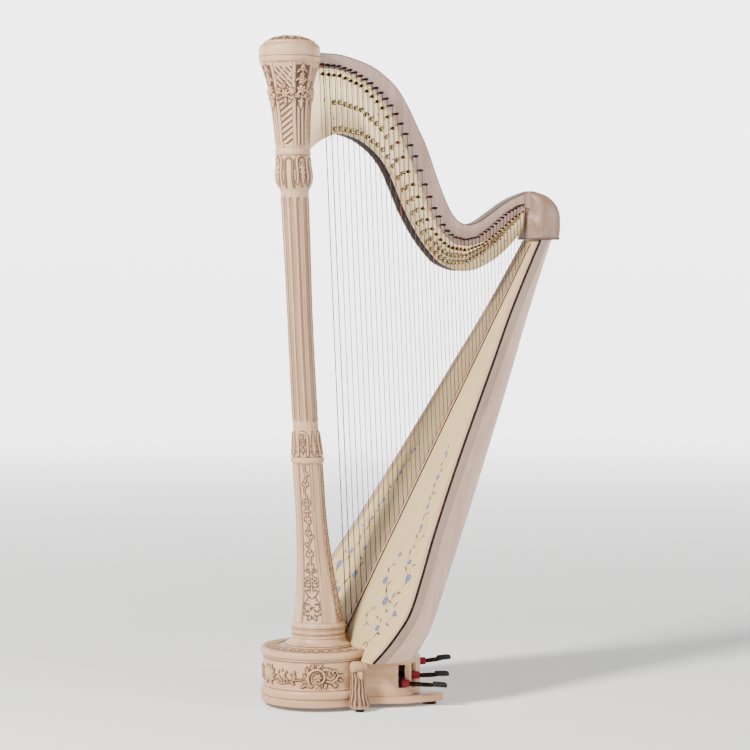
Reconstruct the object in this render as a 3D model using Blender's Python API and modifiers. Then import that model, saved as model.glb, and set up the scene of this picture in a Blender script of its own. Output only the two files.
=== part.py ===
"""Concert pedal harp with 47 strings, as separate wooden, metal and felt parts.

+Z is up, the column stands at -X, the player's shoulder is at +X, and the strings lie in the plane y = 0.
Sizes are in metres. Depths along X are written from the column's foot and moved by SHIFT_X at the end.
"""

import math

import bmesh
import bpy
from mathutils import Matrix, Vector

SHIFT_X = -0.32075
GAP = 0.0004

# Column: height, centre depth.
COLUMN_LINE = [
    (0.100, 0.004), (0.230, 0.003), (0.300, 0.000), (0.518, -0.0184), (0.692, -0.031), (0.995, -0.0495),
    (1.245, -0.0613), (1.480, -0.0728), (1.791, -0.0857), (1.900, -0.0857),
]
BORE_FOOT = (0.002, 0.100)
BORE_HEAD = (-0.082, 1.700)
BORE_R = 0.0190

# Soundboard: the line of string holes.
BOARD_FOOT = (0.095, 0.210)
BOARD_LEAN = math.radians(30.0)
BOARD_THICK = 0.005
BOARD_HALF = [
    (-0.120, 0.190), (-0.078, 0.221), (-0.026, 0.251), (0.036, 0.273), (0.070, 0.279), (0.109, 0.274),
    (0.196, 0.250), (0.317, 0.214), (0.538, 0.162), (0.865, 0.100), (1.020, 0.070), (1.180, 0.051),
    (1.300, 0.042),
]
BOX_DEPTH = [
    (-0.120, 0.180), (0.100, 0.178), (0.300, 0.174), (0.450, 0.165), (0.600, 0.150), (0.800, 0.126),
    (1.000, 0.098), (1.200, 0.068), (1.300, 0.054),
]
BOX_WALL = 0.008
BOX_FOOT_Z = 0.1345
SHOULDER_Z = 1.303

# Neck outline in the plane of depth and height.
NECK_TOP = [
    (-0.060, 1.822), (0.023, 1.822), (0.074, 1.821), (0.120, 1.813), (0.187, 1.792), (0.238, 1.762),
    (0.278, 1.726), (0.311, 1.678), (0.338, 1.630), (0.369, 1.573), (0.418, 1.456), (0.451, 1.390),
    (0.478, 1.359), (0.506, 1.348), (0.545, 1.355), (0.598, 1.386), (0.655, 1.420), (0.7115, 1.442),
]
NECK_LOW = [
    (-0.060, 1.500), (-0.030, 1.536), (-0.012, 1.556), (0.021, 1.580), (0.064, 1.597), (0.086, 1.599),
    (0.119, 1.592), (0.152, 1.579), (0.201, 1.545), (0.237, 1.502), (0.266, 1.445), (0.299, 1.378),
    (0.350, 1.301), (0.406, 1.242), (0.435, 1.227), (0.469, 1.216), (0.498, 1.213), (0.536, 1.218),
    (0.574, 1.233), (0.612, 1.254), (0.650, 1.283), (0.687, 1.318), (0.7115, 1.343),
]
NECK_Y = (0.0125, 0.0500)
PLATE_TOP = [
    (-0.060, 1.779), (0.022, 1.779), (0.080, 1.776), (0.132, 1.761), (0.181, 1.732), (0.223, 1.692),
    (0.252, 1.655), (0.281, 1.597), (0.318, 1.524), (0.351, 1.451), (0.376, 1.396), (0.399, 1.356),
    (0.428, 1.318), (0.460, 1.293), (0.498, 1.285), (0.543, 1.291), (0.592, 1.314), (0.640, 1.346),
    (0.7065, 1.398),
]
PLATE_LOW = [(x, z - 0.001) for x, z in NECK_LOW[:-1]] + [(0.7065, 1.337)]
PLATE_LEFT_Y = (0.0095, 0.0121)
PLATE_RIGHT_Y = (0.0504, 0.0530)

# Strings: distance of string k from the lowest one is A k - B k^2 + C k^3 along the soundboard.
STRINGS = 47
SPACING = (0.03425, 0.000239, 1.49e-6)
STRING_LEAN = 0.0472
NUT_LINE = [
    (0.000, 1.765), (0.077, 1.760), (0.146, 1.735), (0.209, 1.683), (0.241, 1.637), (0.266, 1.580),
    (0.304, 1.489), (0.340, 1.412), (0.376, 1.340), (0.413, 1.301), (0.444, 1.281), (0.501, 1.273),
    (0.557, 1.291), (0.613, 1.326), (0.672, 1.371), (0.700, 1.388),
]
PIN_LINE = [
    (0.000, 1.790), (0.073, 1.786), (0.123, 1.773), (0.173, 1.747), (0.220, 1.711), (0.254, 1.673),
    (0.291, 1.612), (0.329, 1.539), (0.360, 1.463), (0.389, 1.399), (0.430, 1.334), (0.457, 1.312),
    (0.498, 1.303), (0.542, 1.311), (0.587, 1.338), (0.645, 1.382), (0.689, 1.404), (0.720, 1.410),
]
PIN_R = 0.0030
DISC_ROWS = (("natural", 0.0510, 64.0), ("sharp", 0.1010, 58.0))
FIRST_DISC = 2
MOVING_DISCS = ("E", "F", "G", "A", "B", "C", "D")

# Base.
DRUM_R = 0.160
BASE_Z = (0.0340, 0.1650)
PEDAL_BOX_TOP = 0.1340
PEDAL_BOX = [
    (0.000, -0.130), (0.035, -0.1490), (0.060, -0.1510), (0.087, -0.1570), (0.120, -0.1720),
    (0.158, -0.1890), (0.190, -0.1905), (0.220, -0.1760), (0.248, -0.1480), (0.270, -0.1080),
    (0.284, -0.0560), (0.288, 0.0),
]
BOARD_OUTLINE = [
    (-0.158, 0.0), (-0.146, -0.061), (-0.112, -0.112), (-0.061, -0.146), (0.0, -0.157), (0.060, -0.157),
    (0.090, -0.162), (0.125, -0.178), (0.165, -0.195), (0.205, -0.202), (0.250, -0.206), (0.284, -0.207),
    (0.296, -0.198), (0.300, -0.182), (0.297, -0.160), (0.290, -0.130), (0.289, -0.090), (0.295, -0.045),
    (0.298, 0.0),
]
BOARD_Z = (0.0120, 0.0335)

# Pedals: name, row at the rods, bend depth, slot (depth, side), tip (depth, side), rest angle in degrees.
HINGE = (-0.0850, 0.0885)
HALF_STEP = 4.35
PEDALS = [
    ("D", -0.015, 0.012, (0.169, -0.190), (0.274, -0.249), HALF_STEP),
    ("C", -0.010, 0.030, (0.204, -0.185), (0.296, -0.222), 0.0),
    ("B", -0.005, 0.048, (0.262, -0.126), (0.350, -0.148), -HALF_STEP),
    ("E", 0.000, 0.060, (0.279, 0.075), (0.372, 0.094), -HALF_STEP),
    ("F", 0.005, 0.048, (0.262, 0.126), (0.350, 0.148), -HALF_STEP),
    ("G", 0.010, 0.030, (0.204, 0.185), (0.296, 0.222), -HALF_STEP),
    ("A", 0.015, 0.012, (0.169, 0.190), (0.274, 0.249), -HALF_STEP),
]
ROD_R = 0.0015
ROD_TOP = 1.664
CRANK_GEAR = -5.86
CRANK_PIVOT = (-0.0670, 1.6720)

COLOURS = {
    "pale_wood": ((0.79, 0.66, 0.56), 0.45, 0.0),
    "soundboard_wood": ((0.80, 0.68, 0.47), 0.40, 0.0),
    "dark_wood": ((0.10, 0.045, 0.03), 0.40, 0.0),
    "plate": ((0.83, 0.70, 0.50), 0.35, 0.6),
    "brass": ((0.80, 0.58, 0.22), 0.30, 1.0),
    "steel": ((0.45, 0.45, 0.46), 0.35, 1.0),
    "bronze": ((0.10, 0.075, 0.05), 0.35, 0.8),
    "string": ((0.70, 0.66, 0.62), 0.45, 0.0),
    "rubber": ((0.03, 0.03, 0.03), 0.80, 0.0),
}


def clear_scene():
    """Removes the objects that Blender starts with."""
    for obj in list(bpy.data.objects):
        bpy.data.objects.remove(obj, do_unlink=True)


def collection(name, hidden=False):
    """A new collection in the scene."""
    made = bpy.data.collections.new(name)
    bpy.context.scene.collection.children.link(made)
    made.hide_render = hidden
    return made


def material(name):
    """The material of one colour, made once."""
    if name in bpy.data.materials:
        return bpy.data.materials[name]
    colour, roughness, metallic = COLOURS[name]
    made = bpy.data.materials.new(name)
    made.use_nodes = True
    shader = made.node_tree.nodes["Principled BSDF"]
    shader.inputs["Base Color"].default_value = (*colour, 1.0)
    shader.inputs["Roughness"].default_value = roughness
    shader.inputs["Metallic"].default_value = metallic
    return made


def between(table, at):
    """The value of a table of (place, value) at a place, in straight lines."""
    if at <= table[0][0]:
        return table[0][1]
    for (a, va), (b, vb) in zip(table, table[1:]):
        if at <= b:
            return va + (vb - va) * (at - a) / (b - a)
    return table[-1][1]


def new_object(name, points, faces, group, colour=None):
    """A mesh object with outward faces."""
    mesh = bpy.data.meshes.new(name)
    mesh.from_pydata([tuple(p) for p in points], [], faces)
    shape = bmesh.new()
    shape.from_mesh(mesh)
    bmesh.ops.recalc_face_normals(shape, faces=shape.faces)
    bmesh.ops.triangulate(shape, faces=[f for f in shape.faces if len(f.verts) > 4])
    shape.to_mesh(mesh)
    shape.free()
    obj = bpy.data.objects.new(name, mesh)
    group.objects.link(obj)
    if colour:
        obj.data.materials.append(material(colour))
    return obj


def loft_data(rings):
    """Points and faces of a closed skin through rings of equally many points."""
    count = len(rings[0])
    points = [p for ring in rings for p in ring]
    faces = []
    for level in range(len(rings) - 1):
        for i in range(count):
            j = (i + 1) % count
            low = level * count
            faces.append((low + i, low + j, low + count + j, low + count + i))
    faces.append(tuple(range(count))[::-1])
    faces.append(tuple(range((len(rings) - 1) * count, len(rings) * count)))
    return points, faces


def loft(name, rings, group, colour=None):
    """A solid through rings."""
    return new_object(name, *loft_data(rings), group, colour)


def outline_solid(name, outline, low, high, place, group, colour=None):
    """A filled flat outline, extruded by half its thickness each way and then placed."""
    curve = bpy.data.curves.new(name, "CURVE")
    curve.dimensions = "2D"
    curve.fill_mode = "BOTH"
    curve.extrude = (high - low) / 2
    spline = curve.splines.new("POLY")
    spline.points.add(len(outline) - 1)
    for point, (u, v) in zip(spline.points, outline):
        point.co = (u, v, 0.0, 1.0)
    spline.use_cyclic_u = True
    drawn = bpy.data.objects.new(name, curve)
    group.objects.link(drawn)
    mesh = solid_mesh(drawn)
    bpy.data.objects.remove(drawn, do_unlink=True)
    mesh.transform(place @ Matrix.Translation((0.0, 0.0, (low + high) / 2)))
    return mesh_object(name, mesh, group, colour)


def flat_prism(name, outline, low, high, group, colour=None):
    """A solid with a plan outline between two heights."""
    return outline_solid(name, outline, low, high, Matrix.Identity(4), group, colour)


def side_prism(name, outline, left, right, group, colour=None):
    """A solid with an outline of depth and height between two sideways places."""
    return outline_solid(name, outline, -right, -left, Matrix.Rotation(math.pi / 2, 4, "X"), group, colour)


def board_prism(name, outline, near, far, group, colour=None):
    """A solid with an outline of (along, across) the soundboard, between two depths behind its face."""
    turn = Matrix.Rotation(math.pi / 2 - BOARD_LEAN, 4, "Y").inverted()
    place = Matrix.Translation(board_point(0.0)) @ turn
    return outline_solid(name, outline, -far, -near, place, group, colour)


def solid_mesh(obj):
    """The mesh that an object's curve or modifiers make, welded and facing outward."""
    graph = bpy.context.evaluated_depsgraph_get()
    mesh = bpy.data.meshes.new_from_object(obj.evaluated_get(graph))
    shape = bmesh.new()
    shape.from_mesh(mesh)
    bmesh.ops.remove_doubles(shape, verts=shape.verts, dist=1e-6)
    bmesh.ops.recalc_face_normals(shape, faces=shape.faces)
    shape.to_mesh(mesh)
    shape.free()
    return mesh


def mesh_object(name, mesh, group, colour=None):
    """An object with a mesh and, if named, a colour."""
    obj = bpy.data.objects.new(name, mesh)
    group.objects.link(obj)
    if colour:
        obj.data.materials.append(material(colour))
    return obj


def turned(name, table, sides, group, colour=None, leaning=True):
    """A turned solid from (height, radius) rows, bottom to top; a leaning one follows the column's line."""
    profile = [(0.0, table[-1][0])] + [(r, z) for z, r in reversed(table)] + [(0.0, table[0][0])]
    mesh = bpy.data.meshes.new(name)
    mesh.from_pydata([(r, 0.0, z) for r, z in profile], [(i, i + 1) for i in range(len(profile) - 1)], [])
    drawn = mesh_object(name, mesh, group)
    screw = drawn.modifiers.new("Screw", "SCREW")
    screw.axis = "Z"
    screw.steps = sides
    screw.render_steps = sides
    screw.use_merge_vertices = True
    screw.merge_threshold = 0.0001
    made = solid_mesh(drawn)
    bpy.data.objects.remove(drawn, do_unlink=True)
    if leaning:
        for vertex in made.vertices:
            vertex.co.x += centre(vertex.co.z)
    return mesh_object(name, made, group, colour)


def many(name, rods, group, colour=None):
    """Separate straight round bars in one mesh, each (foot, head, radius, sides)."""
    shape = bmesh.new()
    for foot, head, radius, sides in rods:
        foot = Vector(foot)
        head = Vector(head)
        turn = (head - foot).to_track_quat("Z", "X").to_matrix().to_4x4()
        bmesh.ops.create_cone(shape, cap_ends=True, segments=sides, radius1=radius, radius2=radius,
                              depth=(head - foot).length, matrix=Matrix.Translation((foot + head) / 2) @ turn)
    mesh = bpy.data.meshes.new(name)
    shape.to_mesh(mesh)
    shape.free()
    return mesh_object(name, mesh, group, colour)


def bar(name, foot, head, radius, sides, group, colour=None):
    """A straight round bar."""
    return many(name, [(foot, head, radius, sides)], group, colour)


def apply_boolean(obj, other, operation):
    """Cuts, joins or trims a mesh with another one and keeps the result."""
    modifier = obj.modifiers.new("Boolean", "BOOLEAN")
    modifier.solver = "EXACT"
    modifier.operation = operation
    modifier.object = other
    graph = bpy.context.evaluated_depsgraph_get()
    mesh = bpy.data.meshes.new_from_object(obj.evaluated_get(graph))
    obj.modifiers.clear()
    old = obj.data
    obj.data = mesh
    bpy.data.meshes.remove(old)
    if other.users_collection and other.users_collection[0].hide_render:
        bpy.data.objects.remove(other, do_unlink=True)


def cut(obj, other):
    """Takes a cutter out of a part."""
    apply_boolean(obj, other, "DIFFERENCE")


def join(obj, other):
    """Joins a solid to a part."""
    apply_boolean(obj, other, "UNION")


def centre(z):
    """Depth of the column's centre at a height."""
    return between(COLUMN_LINE, z)


def octagon_ring(z, radius, wide=29.0, grow=0.0):
    """A level ring of eight corners, with its wide faces on the diagonals."""
    x = centre(z)
    ring = []
    for quarter in range(4):
        for side in (-wide, wide):
            angle = math.radians(45.0 + 90.0 * quarter + side)
            ring.append((x + (radius + grow) * math.cos(angle), (radius + grow) * math.sin(angle), z))
    return ring


def fluted_ring(z, radius, depth, flutes=12):
    """A level ring with hollows cut into it."""
    x = centre(z)
    ring = []
    for i in range(flutes):
        for part, r in ((0.14, radius), (0.36, radius - depth * 0.75), (0.50, radius - depth),
                        (0.64, radius - depth * 0.75), (0.86, radius)):
            angle = 2 * math.pi * (i + part) / flutes
            ring.append((x + r * math.cos(angle), r * math.sin(angle), z))
    return ring


def bore_point(z):
    """The bore's centre at a height."""
    (x0, z0), (x1, z1) = BORE_FOOT, BORE_HEAD
    return (x0 + (x1 - x0) * (z - z0) / (z1 - z0), 0.0, z)


def bore(z0, z1, group, radius=BORE_R):
    """A cutter along the bore."""
    return bar("bore", bore_point(z0), bore_point(z1), radius, 16, group)


def capital_rings(grow=0.0, low=None):
    """The rings of the eight-sided capital."""
    table = [
        (1.5535, 0.0475), (1.577, 0.0500), (1.632, 0.0535), (1.673, 0.0580), (1.709, 0.0625),
        (1.742, 0.0690), (1.769, 0.0775), (1.7875, 0.0840),
    ]
    if low:
        table = [(low, 0.0475)] + table
    return [octagon_ring(z, r, 25.0, grow) for z, r in table]


def crown_table(grow=0.0):
    """Heights and radii of the round lid and its dome."""
    table = [
        (1.7880, 0.0815), (1.7960, 0.0855), (1.8030, 0.0858), (1.8060, 0.0840), (1.8280, 0.0840),
        (1.8400, 0.0790), (1.8455, 0.0715), (1.8480, 0.0690), (1.8560, 0.0560), (1.8620, 0.0380),
        (1.8650, 0.0190), (1.8660, 0.0060),
    ]
    return [(z - grow * (z < 1.79), r + grow) for z, r in table]


def make_column(parts, tools):
    """The turned, carved and fluted pieces of the hollow column."""
    socle = turned("column_socle", [
        (0.1654, 0.0985), (0.1690, 0.0990), (0.1730, 0.0920), (0.1780, 0.0830), (0.1880, 0.0765),
        (0.1920, 0.0752), (0.2240, 0.0752), (0.2290, 0.0745), (0.2340, 0.0700),
    ], 28, parts, "pale_wood")
    cut(socle, bore(0.15, 0.25, tools))
    slab = []
    for depth in (-0.0042, 0.2):
        slab.append([board_point(-0.3, -0.2, depth), board_point(0.3, -0.2, depth),
                     board_point(0.3, 0.2, depth), board_point(-0.3, 0.2, depth)])
    cut(socle, loft("slab", slab, tools))
    lower = loft("column_lower", [
        octagon_ring(0.2344, 0.0730), octagon_ring(0.2500, 0.0700), octagon_ring(0.2770, 0.0662),
        octagon_ring(0.3190, 0.0598), octagon_ring(0.4040, 0.0512), octagon_ring(0.5180, 0.0446),
        octagon_ring(0.6300, 0.0440), octagon_ring(0.6796, 0.0436),
    ], parts, "pale_wood")
    cut(lower, bore(0.22, 0.69, tools))
    collar = turned("column_collar_lower", [
        (0.6800, 0.0440), (0.6840, 0.0461), (0.6940, 0.0461), (0.6980, 0.0425), (0.7130, 0.0415),
        (0.7450, 0.0390), (0.7700, 0.0368), (0.7796, 0.0358),
    ], 20, parts, "pale_wood")
    cut(collar, bore(0.67, 0.79, tools))
    shaft = loft("column_shaft", [
        fluted_ring(0.7800, 0.0352, 0.0), fluted_ring(0.8000, 0.0354, 0.003),
        fluted_ring(0.9950, 0.0350, 0.003), fluted_ring(1.1340, 0.0350, 0.003),
        fluted_ring(1.3280, 0.0375, 0.003), fluted_ring(1.4150, 0.0386, 0.003),
        fluted_ring(1.4346, 0.0395, 0.0),
    ], parts, "pale_wood")
    cut(shaft, bore(0.77, 1.45, tools))
    upper = turned("column_collar_upper", [
        (1.4350, 0.0405), (1.4450, 0.0430), (1.4560, 0.0485), (1.4680, 0.0512), (1.4830, 0.0512),
        (1.4980, 0.0495), (1.5250, 0.0492), (1.5400, 0.0475), (1.5440, 0.0488), (1.5531, 0.0484),
    ], 20, parts, "pale_wood")
    cut(upper, bore(1.42, 1.57, tools))
    capital = loft("capital", capital_rings(), parts, "pale_wood")
    cut(capital, bore(1.54, 1.68, tools))
    cut(capital, turned("hollow", [(1.6500, 0.0400), (1.8000, 0.0460)], 16, tools))
    turned("crown_cap", crown_table(), 28, parts, "pale_wood")


def drum_table(grow=0.0):
    """Heights and radii of the base's round front."""
    table = [
        (BASE_Z[0], DRUM_R - 0.006), (0.0400, DRUM_R), (0.0520, DRUM_R), (0.0630, DRUM_R - 0.008),
        (0.1380, DRUM_R - 0.008), (0.1450, DRUM_R - 0.002), (0.1600, DRUM_R), (BASE_Z[1], DRUM_R - 0.004),
    ]
    return [(z, r + grow) for z, r in table]


def drum(name, table, sides, group, colour=None):
    """An upright turned solid round the column's foot."""
    return turned(name, table, sides, group, colour, leaning=False)


def mirrored(half):
    """A plan outline from its -Y half, listed from front to rear."""
    other = [(x, -y) for x, y in reversed(half) if abs(y) > 1e-6]
    return half + other


def shrunk(half, wall):
    """The same half outline, moved inward by a wall."""
    moved = []
    for i, (x, y) in enumerate(half):
        a = half[max(i - 1, 0)]
        b = half[min(i + 1, len(half) - 1)]
        along = Vector((b[0] - a[0], b[1] - a[1])).normalized()
        if abs(y) < 1e-6:
            moved.append((x - math.copysign(wall, x), 0.0))
        else:
            moved.append((x - along.y * wall, y + along.x * wall))
    return moved


def drum_cutter(tools, grow, low):
    """A cutter as wide as the drum, from a height up to its top."""
    return drum("drum_cutter", [(low, DRUM_R + grow), (BASE_Z[1] + grow, DRUM_R + grow)], 36, tools)


def make_base(parts, tools):
    """The hollow base with its pedal slots, bottom board, feet and hinge rail."""
    body = drum("base_body", drum_table(), 36, parts, "pale_wood")
    box = flat_prism("box", mirrored(PEDAL_BOX), BASE_Z[0] + 0.0002, PEDAL_BOX_TOP, tools)
    join(body, box)
    inside = shrunk(PEDAL_BOX, 0.009)
    inside[0] = (0.0, -0.1)
    cut(body, flat_prism("box_hollow", mirrored(inside), 0.02, PEDAL_BOX_TOP - 0.006, tools))
    cut(body, drum("hollow", [(0.021, 0.1395), (0.153, 0.1395)], 33, tools))
    cut(body, bore(0.14, 0.18, tools, BORE_R + 0.001))
    for name, row, bend, slot, tip, rest in PEDALS:
        cut(body, slot_cutter(bend, row, slot, tools))
    flat_prism("base_bottom_board", mirrored(BOARD_OUTLINE), *BOARD_Z, parts, "pale_wood")
    make_feet(parts, tools)
    rail = bar("pedal_hinge_rail", (HINGE[0], -0.027, HINGE[1]), (HINGE[0], 0.027, HINGE[1]), 0.003, 12,
               parts, "steel")
    for side in (-1, 1):
        outline = [(HINGE[0] - 0.010, BOARD_Z[1] + GAP), (HINGE[0] + 0.010, BOARD_Z[1] + GAP),
                   (HINGE[0] + 0.007, HINGE[1] + 0.007), (HINGE[0] - 0.007, HINGE[1] + 0.007)]
        near, far = sorted((side * 0.0205, side * 0.0265))
        join(rail, side_prism("post", outline, near, far, tools))
    foot = [(HINGE[0] - 0.012, -0.030), (HINGE[0] + 0.012, -0.030), (HINGE[0] + 0.012, 0.030),
            (HINGE[0] - 0.012, 0.030)]
    join(rail, flat_prism("sole", foot, BOARD_Z[1] + GAP, BOARD_Z[1] + 0.004, tools))


def slot_cutter(bend, row, slot, tools):
    """A cutter for one pedal's slot in the base's rear wall."""
    way = Vector((slot[0] - bend, slot[1] - row)).normalized()
    side = Vector((-way.y, way.x)) * 0.0105
    inner = Vector(slot) - way * 0.050
    outer = Vector(slot) + way * 0.030
    outline = [inner - side, outer - side, outer + side, inner + side]
    reach = (slot[0] - HINGE[0]) * math.sin(math.radians(HALF_STEP)) + 0.0130
    top = min(HINGE[1] + reach, PEDAL_BOX_TOP - 0.0065)
    return flat_prism("slot", [tuple(p) for p in outline], HINGE[1] - reach, top, tools)


def make_feet(parts, tools):
    """Two scrolled feet at the sides, a glide in front and two pads behind."""
    for name, side in (("left", -1), ("right", 1)):
        rings = []
        for z, x, y, half_x, half_y in (
            (0.000, 0.033, 0.180, 0.010, 0.010), (0.008, 0.033, 0.180, 0.012, 0.012),
            (0.0085, 0.033, 0.178, 0.024, 0.020), (0.022, 0.033, 0.176, 0.029, 0.024),
            (0.050, 0.033, 0.172, 0.027, 0.022), (0.090, 0.033, 0.167, 0.022, 0.020),
            (0.112, 0.033, 0.165, 0.021, 0.020), (0.130, 0.033, 0.163, 0.019, 0.017),
            (0.137, 0.033, 0.160, 0.012, 0.010),
        ):
            ring = []
            for i in range(10):
                angle = 2 * math.pi * (i + 0.5) / 10
                ring.append((x + half_x * math.cos(angle), side * y + half_y * math.sin(angle), z))
            rings.append(ring)
        foot = loft("front_foot_" + name, rings, parts, "pale_wood")
        wide, waist = DRUM_R + GAP, DRUM_R - 0.008 + GAP
        cut(foot, drum("drum", [(0.0336, wide), (0.0630, wide), (0.0640, waist), (0.1380, waist),
                                (0.1450, wide)], 36, tools))
        cut(foot, flat_prism("box", mirrored(shrunk(PEDAL_BOX, -GAP)), 0.030, 0.140, tools))
        cut(foot, flat_prism("board", mirrored(shrunk(BOARD_OUTLINE, -GAP)), BOARD_Z[0] - GAP,
                             BOARD_Z[1] + GAP, tools))
        bar("rear_foot_" + name, (0.270, side * 0.162, 0.0), (0.270, side * 0.162, BOARD_Z[0] - GAP),
            0.020, 14, parts, "rubber")
    bar("front_glide", (-0.092, 0.0, 0.0), (-0.092, 0.0, BOARD_Z[0] - GAP), 0.019, 14, parts, "rubber")


def board_point(s, y=0.0, depth=0.0):
    """A point of the soundboard's frame: along it, sideways, and behind its face."""
    lean = BOARD_LEAN
    x = BOARD_FOOT[0] + s * math.sin(lean) + depth * math.cos(lean)
    z = BOARD_FOOT[1] + s * math.cos(lean) - depth * math.sin(lean)
    return (x, y, z)


def shell_ring(s, inset, front, steps=14):
    """A D-shaped ring of the soundbox, its flat side at a depth behind the board's face."""
    half = between(BOARD_HALF, s) - inset
    deep = between(BOX_DEPTH, s) - inset
    ring = []
    for i in range(steps + 1):
        angle = math.pi * i / steps
        lift = max(math.sin(angle), 0.0) ** 0.85
        ring.append(board_point(s, -half * math.cos(angle), front + (deep - front) * lift))
    return ring


def make_soundbox(parts, tools):
    """The staved shell, the soundboard on it and the pieces inside."""
    places = [-0.12, -0.078, -0.026, 0.036, 0.070, 0.109, 0.196, 0.317, 0.45, 0.60, 0.80, 1.02, 1.18, 1.36]
    front = BOARD_THICK + GAP
    shell = loft("soundbox_shell", [shell_ring(s, 0.0, front) for s in places], parts, "pale_wood")
    inner = [shell_ring(s, BOX_WALL, front - 0.02) for s in [-0.16] + places[1:-1] + [1.255]]
    block = [(-1, -1), (1, -1), (1, 1), (-1, 1)]
    cavity = loft("inner", inner, tools)
    cut(cavity, flat_prism("floor", block, -1.0, BOX_FOOT_Z + BOX_WALL, tools))
    cut(shell, cavity)
    cut(shell, flat_prism("floor", block, -1.0, BOX_FOOT_Z, tools))
    cut(shell, drum_cutter(tools, GAP, 0.0))
    cut(shell, flat_prism("sky", block, SHOULDER_Z, 3.0, tools))
    for s, half_y, half_s in ((0.22, 0.050, 0.060), (0.40, 0.046, 0.056), (0.58, 0.041, 0.052),
                              (0.75, 0.034, 0.046), (0.91, 0.027, 0.040)):
        cut(shell, hole_cutter(s, half_y, half_s, tools))
    places = [-0.12, -0.078, -0.05, -0.026, 0.0, 0.036, 0.070, 0.109, 0.15, 0.196, 0.25, 0.317, 0.42,
              0.538, 0.70, 0.865, 1.02, 1.18, 1.30]
    outline = [(s, -between(BOARD_HALF, s)) for s in places]
    outline += [(s, between(BOARD_HALF, s)) for s in reversed(places)]
    board = board_prism("soundboard", outline, 0.0, BOARD_THICK, parts, "soundboard_wood")
    cut(board, flat_prism("floor", block, -1.0, BOX_FOOT_Z, tools))
    cut(board, drum_cutter(tools, GAP, 0.0))
    cut(board, flat_prism("sky", block, SHOULDER_Z, 3.0, tools))
    make_inside(parts, tools)


def hole_cutter(s, half_y, half_s, tools):
    """A cutter for one oval sound hole in the shell's back."""
    deep = between(BOX_DEPTH, s)
    rings = []
    for depth in (deep - 0.045, deep + 0.03):
        ring = []
        for i in range(12):
            angle = 2 * math.pi * (i + 0.5) / 12
            ring.append(board_point(s + half_s * math.sin(angle), half_y * math.cos(angle), depth))
        rings.append(ring)
    return loft("hole", rings, tools)


def make_inside(parts, tools):
    """The strip glued behind the string holes and one arched brace across the shell."""
    back = BOARD_THICK + GAP
    outline = [(0.02, -0.018), (1.19, -0.010), (1.19, 0.010), (0.02, 0.018)]
    board_prism("soundboard_inner_strip", outline, back, back + 0.006, parts, "pale_wood")
    outer = []
    inner = []
    for s in (0.495, 0.507):
        outer.append(shell_ring(s, BOX_WALL + 0.0012, back - 0.02))
        inner.append(shell_ring(s + (s - 0.501) * 3, BOX_WALL + 0.020, back - 0.03))
    brace = loft("soundbox_brace", outer, parts, "pale_wood")
    cut(brace, loft("inner", inner, tools))
    slab = []
    for depth in (-0.1, back + 0.009):
        slab.append([board_point(0.4, -0.3, depth), board_point(0.6, -0.3, depth),
                     board_point(0.6, 0.3, depth), board_point(0.4, 0.3, depth)])
    cut(brace, loft("slab", slab, tools))


def string_place(k):
    """Where string k leaves the soundboard, and its distance along it."""
    a, b, c = SPACING
    s = a * k - b * k * k + c * k ** 3
    x, _, z = board_point(s)
    return s, x, z


def string_x(k, z):
    """Depth of string k at a height."""
    _, x, foot = string_place(k)
    return x - STRING_LEAN * (z - foot)


def meet(k, line):
    """Where string k crosses a line given as heights over depths."""
    z = 1.5
    for _ in range(30):
        z = between(line, string_x(k, z))
    return string_x(k, z), z


def string_radius(k):
    """Half the thickness of string k."""
    return 0.00075 - 0.00045 * k / (STRINGS - 1)


def disc_height(k, part):
    """Height of a disc a given part of the string's length below its nut."""
    _, _, foot = string_place(k)
    _, top = meet(k, NUT_LINE)
    return top - (top - foot) * part


def disc_radius(k):
    """Disc radius for string k, smaller where the discs crowd."""
    _, _, foot = string_place(k)
    _, top = meet(k, NUT_LINE)
    return min(0.0062, 0.024 * (top - foot))


def make_strings(parts, tools):
    """The strip of string holes with the 47 strings rising from it."""
    outline = [(-0.030, -0.0065), (1.245, -0.0045), (1.245, 0.0045), (-0.030, 0.0065)]
    strip = board_prism("string_band", outline, -0.0034, -GAP, parts, "string")
    rods = []
    for k in range(STRINGS):
        _, x, z = string_place(k)
        _, top = meet(k, PIN_LINE)
        foot = Vector((x, 0.0, z)) + Vector((-STRING_LEAN, 0.0, 1.0)) * 0.0034
        head = Vector((string_x(k, top), 0.0, top))
        rods.append((foot, head, string_radius(k), 5))
    join(strip, many("strings", rods, tools))


def neck_outline(top, low):
    """A closed outline from an upper and a lower edge, both listed from the column outward."""
    return top + list(reversed(low))


def trim_to_column(obj, tools):
    """Takes the capital, the lid and the upper collar, with a hair's gap, out of a part."""
    cut(obj, loft("capital_cutter", capital_rings(GAP, 1.40), tools))
    cut(obj, turned("crown_cutter", crown_table(GAP), 28, tools))
    cut(obj, turned("collar_cutter", [(1.42, 0.0520), (1.5535, 0.0495)], 20, tools))


def make_neck(parts, tools):
    """The curved neck with its tuning pins, the shoulder, and the two plates."""
    neck = side_prism("neck", neck_outline(NECK_TOP, NECK_LOW), *NECK_Y, parts, "pale_wood")
    trim_to_column(neck, tools)
    pins = []
    for k in range(STRINGS):
        x, z = meet(k, PIN_LINE)
        x -= PIN_R + string_radius(k) + 0.0004
        pins.append(((x, -0.0130, z), (x, 0.0740, z), PIN_R, 6))
    join(neck, many("pins", pins, tools))
    left = side_prism("action_plate_left", neck_outline(PLATE_TOP, PLATE_LOW), *PLATE_LEFT_Y, parts, "plate")
    trim_to_column(left, tools)
    join(left, many("nuts", nut_rods(), tools))
    join(left, many("discs", fixed_disc_rods(), tools))
    right = side_prism("action_plate_right", neck_outline(PLATE_TOP, PLATE_LOW), *PLATE_RIGHT_Y, parts,
                       "plate")
    trim_to_column(right, tools)
    loft("shoulder_block", shoulder_rings(), parts, "pale_wood")


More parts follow.
